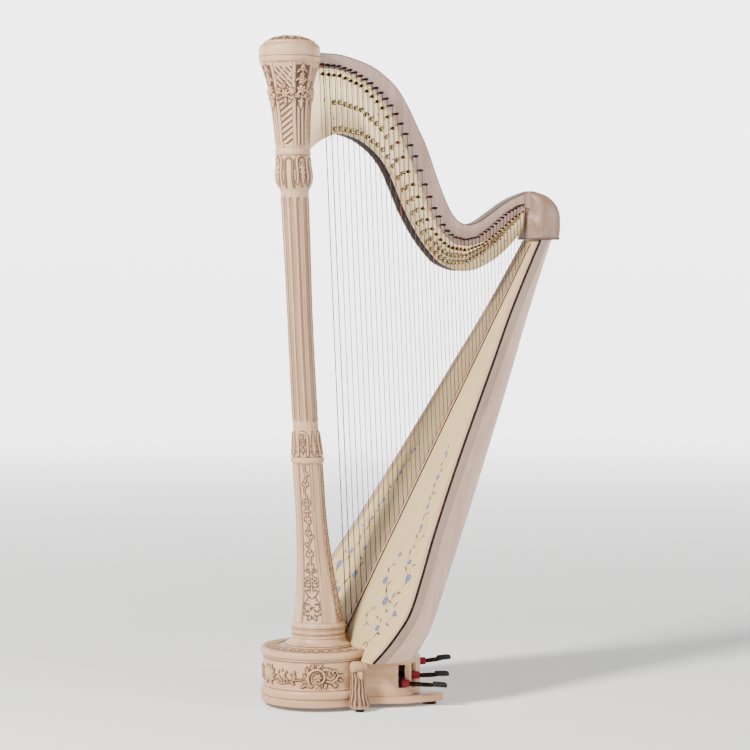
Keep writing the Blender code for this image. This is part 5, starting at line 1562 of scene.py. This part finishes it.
def make_pins():
    """The tuning pins with their string coils, and the bridge nuts."""
    pins = Pieces()
    nuts = Pieces()
    for k in range(STRINGS):
        x, z = meet(k, PIN_LINE)
        slim = 1.0 if k < 26 else 0.72
        r = PIN_R * slim
        x -= r + string_radius(k) * 0.6 + 0.0002
        wind = r + min(string_radius(k) * 1.6, 0.0012)
        near = -0.0130 * slim
        left = [(near, r * 0.4), (near + 0.0004, r * 0.8), (near + 0.0014, r), (-0.0050, r)]
        for turn in range(3):
            at = -0.0028 + turn * 0.0018
            left += [(at - 0.0008, r), (at - 0.0004, wind), (at + 0.0004, wind), (at + 0.0008, r)]
        left += [(0.0130, r)]
        mark = {"C": 1}.get(NOTES[k % 7], 0)
        pins.add(turned((x, 0.0, z), (0, 1, 0), left, 14), mark=mark)
        pins.add(turned((x, 0.0, z), (0, 1, 0), [(0.0490, r), (0.0600, r), (0.0612, r * 0.86)], 14))
        pins.add(turned((x, 0.0, z), (0, 1, 0), [(0.0600, r * 0.94), (0.0730, r * 0.82), (0.0740, r * 0.60)], 4,
                        (1, 0, 0)))
        x, z = meet(k, NUT_LINE)
        radius = 0.0022 if k < 30 else 0.0016
        x += radius + string_radius(k) * 0.7 + 0.0003
        nuts.add(turned((x, 0.0, z), (0, 1, 0), [
            (-0.0058, radius * 0.6), (-0.0054, radius), (-0.0020, radius), (-0.0010, radius * 0.62),
            (0.0010, radius * 0.62), (0.0020, radius), (0.0050, radius)], 14))
        nuts.add(turned((x, 0.0, z), (0, 1, 0), [(0.0046, radius * 1.7), (0.0052, radius * 2.1),
                                                 (0.0092, radius * 2.1), (0.0105, radius * 1.7)], 14), mark=1)
        nuts.add(turned((x + radius * 3.0, 0.0, z - radius * 0.8), (0, 1, 0), [
            (0.0060, radius * 0.9), (0.0066, radius * 1.25), (0.0096, radius * 1.25)], 12))
    pins.object("tuning_pins", [M["pin"], M["red_pin"]], slot="steel")
    nuts.object("bridge_nuts", [M["brass"], M["edge"]], slot="brass")


def disc_skins(pieces, x, z, radius, turn):
    """One forked disc: a ring open at one side, near black as painted dark reflection and shade of its brass, round a
    pale dished face, a screw and two pins.
    """
    c, s = math.cos(math.radians(turn)), math.sin(math.radians(turn))
    pieces.add(turned((x, 0.0, z), (0, -1, 0), [
        (-0.0090, radius * 0.94), (-0.0086, radius * 0.98), (-0.0062, radius * 0.98), (-0.0060, radius * 0.66),
        (-0.0064, radius * 0.56), (-0.0064, radius * 0.34)], 26))
    ring = []
    for step in range(23):
        a = math.radians(turn + 44.0 + 272.0 * step / 22)
        ring.append((x + radius * 0.84 * math.cos(a), -0.0, z - radius * 0.84 * math.sin(a)))
    ring = [(px, 0.0060, pz) for px, _, pz in ring]
    # Painted reflection: the brass rim is near black, for its dark reflection and shade.
    pieces.add(pipe(ring, radius * 0.19, 8), mark=1)
    pieces.add(turned((x, 0.0, z), (0, -1, 0), [(-0.0070, radius * 0.34), (-0.0056, radius * 0.34),
                                                (-0.0052, radius * 0.24)], 12), mark=1)
    reach = min(0.0046, radius * 0.76)
    for side in (-1, 1):
        px, pz = x + side * reach * c, z - side * reach * s
        pieces.add(turned((px, 0.0, pz), (0, -1, 0), [(-0.0062, 0.00070), (0.0036, 0.00070), (0.0042, 0.0004)], 10))


def make_discs():
    """The discs of both rows; those of one octave ride on their own bodies."""
    rest = {name: (angle + HALF_STEP) / (2 * HALF_STEP) for name, _, _, _, _, angle in PEDALS}
    still = Pieces()
    for kind, part, full in DISC_ROWS:
        for k in range(FIRST_DISC, STRINGS - 1):
            z = disc_height(k, part)
            x = string_x(k, z)
            name = NOTES[k % 7]
            turn = full * rest[name]
            if k < FIRST_DISC + 7:
                one = Pieces()
                disc_skins(one, x, z, disc_radius(k, part), turn)
                node = f"disc_{kind}_{name}"
                made = one.object("brass_" + node, [M["disc"], M["edge"]], slot="brass", body=node)
                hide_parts(node)
            else:
                disc_skins(still, x, z, disc_radius(k, part), turn)
            still.add(turned((x, 0.0, z), (0, -1, 0), [(-0.0105, 0.0016), (-0.0092, 0.0016)], 10))
    still.object("still_discs", [M["disc"], M["edge"]], slot="brass")


def make_shoulder():
    """The carved shoulder that joins neck and soundbox."""
    rows = [
        (1.3034, 0.7120, -0.0440, -0.0460, 0.8060), (1.3150, 0.7120, -0.0430, -0.0465, 0.8085),
        (1.3300, 0.7120, -0.0370, -0.0465, 0.8110), (1.3450, 0.7120, -0.0230, -0.0462, 0.8118),
        (1.3600, 0.7120, -0.0080, -0.0458, 0.8120), (1.3750, 0.7120, 0.0030, -0.0448, 0.8115),
        (1.3950, 0.7120, 0.0090, -0.0415, 0.8060), (1.4150, 0.7120, 0.0110, -0.0345, 0.7935),
        (1.4300, 0.7120, 0.0120, -0.0230, 0.7780), (1.4400, 0.7120, 0.0125, -0.0060, 0.7600),
        (1.4465, 0.7240, 0.0200, 0.0160, 0.7420),
    ]
    rings = []
    for z in np.linspace(1.3034, 1.4465, 44):
        front, near_front, near, back = (float(smooth_table([(r[0], r[c]) for r in rows], z)) for c in (1, 2, 3, 4))
        far = 0.0500 - max(0.0, z - 1.44) * 2.0
        mid = front + (back - front) * 0.50
        curve = [(front, near_front), (front + 0.006, near_front * 0.85 + near * 0.15),
                 (front + (mid - front) * 0.40, near_front * 0.35 + near * 0.65),
                 (front + (mid - front) * 0.70, near_front * 0.08 + near * 0.92), (mid, near),
                 (back - (back - mid) * 0.35, near * 0.97), (back - 0.006, near * 0.62),
                 (back, near * 0.3 + far * 0.3),
                 (back - 0.006, far * 0.72), (back - (back - mid) * 0.35, far), (front, far)]
        plan = rounded(curve, 60)
        rings.append(np.column_stack([plan, np.full(len(plan), z)]))
    block = finish_mesh("shoulder", *tube_data(rings), M["shoulder"], slot="pale_wood", smooth=66)
    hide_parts("shoulder_block")
    rim = []
    middle = rings[0][:, :2].mean(axis=0)
    for z, grow in ((1.3036, 0.0002), (1.3042, 0.0016), (1.3064, 0.0022), (1.3086, 0.0016), (1.3094, 0.0002)):
        plan = np.array(rings[2][:, :2])
        out = plan - middle
        out /= np.linalg.norm(out, axis=1)[:, None]
        rim.append(np.column_stack([plan + out * grow, np.full(len(plan), z)]))
    finish_mesh("shoulder_rim", *tube_data(rim), M["crest"], slot="pale_wood", smooth=60)


# ---------------------------------------------------------------- pedals

def soft_bar(stations, corner=3.2, sides=28):
    """Rings of a bar with rounded corners along stations of (depth, side, width, height, rise)."""
    rings = []
    turn = even_turn(sides)
    c, s = np.cos(turn), np.sin(turn)
    across = np.sign(c) * np.abs(c) ** (2 / corner)
    upward = np.sign(s) * np.abs(s) ** (2 / corner)
    for i, (x, y, width, height, rise) in enumerate(stations):
        a = stations[max(i - 1, 0)]
        b = stations[min(i + 1, len(stations) - 1)]
        along = Vector((b[0] - a[0], b[1] - a[1])).normalized()
        rings.append(np.column_stack([
            x - along.y * width / 2 * across, y + along.x * width / 2 * across,
            HINGE[1] + rise + height / 2 * upward]))
    return rings


def pressed(rings, angle):
    """Rings turned about the hinge rail."""
    c, s = math.cos(math.radians(angle)), math.sin(math.radians(angle))
    out = []
    for ring in rings:
        ring = np.array(ring)
        x, z = ring[:, 0] - HINGE[0], ring[:, 2] - HINGE[1]
        out.append(np.column_stack([HINGE[0] + c * x + s * z, ring[:, 1], HINGE[1] - s * x + c * z]))
    return out


def make_pedals():
    """The seven bronzed pedals with crimson felt sleeves and black toe caps."""
    for name, row, bend, slot, tip, rest in PEDALS:
        slot, tip = Vector(slot), Vector(tip)
        inner = (slot - Vector((bend, row))).normalized()
        elbow = slot + inner * 0.0200
        way = (tip - elbow).normalized()
        length = (tip - elbow).length

        def on_inner(at, width, height, rise=0.0):
            spot = slot + inner * at
            return (spot.x, spot.y, width, height, rise)

        def on_way(at, width, height, rise=0.0):
            spot = elbow + way * at
            return (spot.x, spot.y, width, height, rise)

        lever = [(HINGE[0] - 0.0085, row, 0.0034, 0.016, 0.0), (HINGE[0] + 0.0085, row, 0.0034, 0.016, 0.0),
                 (HINGE[0] + 0.012, row, 0.0034, 0.011, 0.0), (bend, row, 0.0034, 0.011, 0.0),
                 on_inner(-0.0300, 0.0070, 0.0110), on_inner(-0.0044, 0.0080, 0.0110),
                 on_inner(0.0175, 0.0100, 0.0115), on_way(0.0, 0.0110, 0.0120),
                 on_way(length * 0.35, 0.0120, 0.0130), on_way(length * 0.6, 0.0110, 0.0115),
                 on_way(length - 0.0380, 0.0100, 0.0100, 0.0010)]
        felt = [on_inner(-0.0040, 0.0120, 0.0150), on_inner(-0.0032, 0.0154, 0.0196), on_inner(-0.0010, 0.0160, 0.0205),
                on_inner(0.0140, 0.0160, 0.0205), on_inner(0.0162, 0.0154, 0.0196), on_inner(0.0170, 0.0120, 0.0150)]
        cap = [on_way(length - 0.0396, 0.0112, 0.0112, 0.0030), on_way(length - 0.0386, 0.0140, 0.0140, 0.0030),
               on_way(length - 0.0350, 0.0152, 0.0150, 0.0030), on_way(length - 0.0200, 0.0164, 0.0152, 0.0026),
               on_way(length - 0.0060, 0.0170, 0.0150, 0.0020), on_way(length - 0.0020, 0.0150, 0.0130, 0.0012),
               on_way(length, 0.0115, 0.0098, 0.0004)]
        node = "pedal_" + name
        pieces = Pieces()
        pieces.add(pressed(soft_bar(lever), rest))
        pieces.add(pressed(soft_bar(felt, 2.6), rest), mark=1)
        pieces.add(pressed(soft_bar(cap, 2.6), rest), mark=2)
        made = pieces.object("bronze_" + node, [M["bronze"], M["felt"], M["rubber"]], slot="bronze", body=node,
                             smooth=45)
        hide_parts(node)


def dress_kept_nodes():
    """Gives the CAD pieces that stay as they are their materials."""
    chosen = {"front_glide": "rubber", "rear_foot_left": "rubber", "rear_foot_right": "rubber",
              "pedal_hinge_rail": "steel", "crank_shaft": "steel", "soundbox_brace": "column",
              "soundboard_inner_strip": "column"}
    for name, _, _, _, _, _ in PEDALS:
        chosen["pedal_rod_" + name] = "steel"
        chosen["bell_crank_" + name] = "brass"
    for node, key in chosen.items():
        obj = bpy.data.objects[node]
        obj.data.materials.clear()
        obj.data.materials.append(M[key])


# Painted light: the surround's glow near and far, and the way behind the harp in which it is brightest.
STAGE_GLOW = (0.22, 3.0)
BACKDROP_WAY = (0.515, 0.857, 0.0)
WORLD_LIGHT = 0.10
LIGHTS = [
    ("key_light", (-5.0, -1.2, 4.2), (0.0, 0.0, 0.9), 1.0, 960.0, (1.0, 0.97, 0.93)),
    ("side_light", (2.7, -4.7, 2.8), (0.0, 0.0, 0.9), 1.4, 230.0, (1.0, 0.99, 0.97)),
    ("back_light", (1.5, 4.5, 4.0), (0.0, 0.0, 1.0), 3.0, 80.0, (1.0, 1.0, 1.0)),
]


# ---------------------------------------------------------------- stage

def make_stage():
    """A white floor that curves up into a round white surround, which glows as painted light: faint near the harp,
    brighter far off and behind it.
    """
    profile = [(0.001, 0.0), (2.0, 0.0), (5.0, 0.0), (9.0, 0.0), (10.0, 0.08), (11.0, 0.40), (11.8, 1.1),
               (12.2, 2.2), (12.3, 4.0)]
    path = rounded(profile, 60)
    turn = even_turn(96)
    rows = np.stack([np.stack([r * np.cos(turn), r * np.sin(turn), 0 * turn + max(z, 0.0)], axis=-1) for r, z in path])
    mesh = bpy.data.meshes.new("white_surround")
    mesh.from_pydata(rows.reshape(-1, 3).tolist(), [], grid_faces(len(path), len(turn)))
    for face in mesh.polygons:
        face.use_smooth = True
    surround = bpy.data.objects.new("white_surround", mesh)
    bpy.context.scene.collection.objects.link(surround)
    s = Shader("glowing_white_paper", roughness=0.9)
    # Painted light: emission grows with distance from the harp and towards BACKDROP_WAY.
    away = s.node("ShaderNodeVectorMath", "Value", _operation="LENGTH", Vector=s.node("ShaderNodeTexCoord", "Object"))
    glow = s.node("ShaderNodeMapRange", "Result", Value=away, From_Min=1.5, From_Max=10.0,
                  To_Min=STAGE_GLOW[0], To_Max=STAGE_GLOW[1])
    behind = s.node("ShaderNodeVectorMath", "Value", _operation="DOT_PRODUCT",
                    Vector=s.node("ShaderNodeTexCoord", "Object"))
    s.set(behind.node, 1, BACKDROP_WAY)
    share = s.node("ShaderNodeMapRange", "Result", Value=behind, From_Min=-3.0, From_Max=9.0, To_Min=0.30,
                   To_Max=1.0)
    strength = s.node("ShaderNodeMath", "Value", _operation="MULTIPLY")
    s.set(strength.node, 0, glow)
    s.set(strength.node, 1, share)
    s.set(s.surface, "Emission Strength", strength)
    s.set(s.surface, "Emission Color", (1.0, 1.0, 1.0))
    s.set(s.surface, "Specular IOR Level", 0.0)
    mesh.materials.append(s.colour((0.80, 0.80, 0.80)))


def make_lights():
    """Soft daylight from the upper left, a weak fill and a light behind."""
    for name, place, aim, size, power, colour in LIGHTS:
        data = bpy.data.lights.new(name, "AREA")
        data.energy = power
        data.size = size
        data.color = colour
        light = bpy.data.objects.new(name, data)
        light.location = place
        light.rotation_euler = (Vector(aim) - Vector(place)).to_track_quat("-Z", "Y").to_euler()
        bpy.context.scene.collection.objects.link(light)
    world = bpy.data.worlds.new("white_world")
    world.use_nodes = True
    background = world.node_tree.nodes["Background"]
    background.inputs["Color"].default_value = (1.0, 1.0, 1.0, 1.0)
    background.inputs["Strength"].default_value = WORLD_LIGHT
    bpy.context.scene.world = world


def make_camera():
    """The camera, standing where the photographer stood."""
    data = bpy.data.cameras.new("camera")
    data.lens = CAMERA_LENS
    data.sensor_width = 36.0
    data.clip_end = 60.0
    camera = bpy.data.objects.new("camera", data)
    camera.location = CAMERA_PLACE
    camera.rotation_euler = tuple(math.radians(a) for a in CAMERA_TURN)
    bpy.context.scene.collection.objects.link(camera)
    bpy.context.scene.camera = camera


def build():
    """Builds every piece, in order from the floor up."""
    make_bottom_board()
    make_drum()
    make_pedal_box()
    make_scroll_foot("left", -1)
    make_scroll_foot("right", 1)
    make_socle()
    make_lower_column()
    make_leaf_collar()
    make_shaft()
    make_upper_collar()
    make_capital()
    make_crown()
    make_shell()
    make_soundboard()
    make_painting()
    make_strings()
    make_neck()
    make_pins()
    make_discs()
    make_shoulder()
    make_pedals()
    dress_kept_nodes()
    make_stage()
    make_lights()
    make_camera()


build()
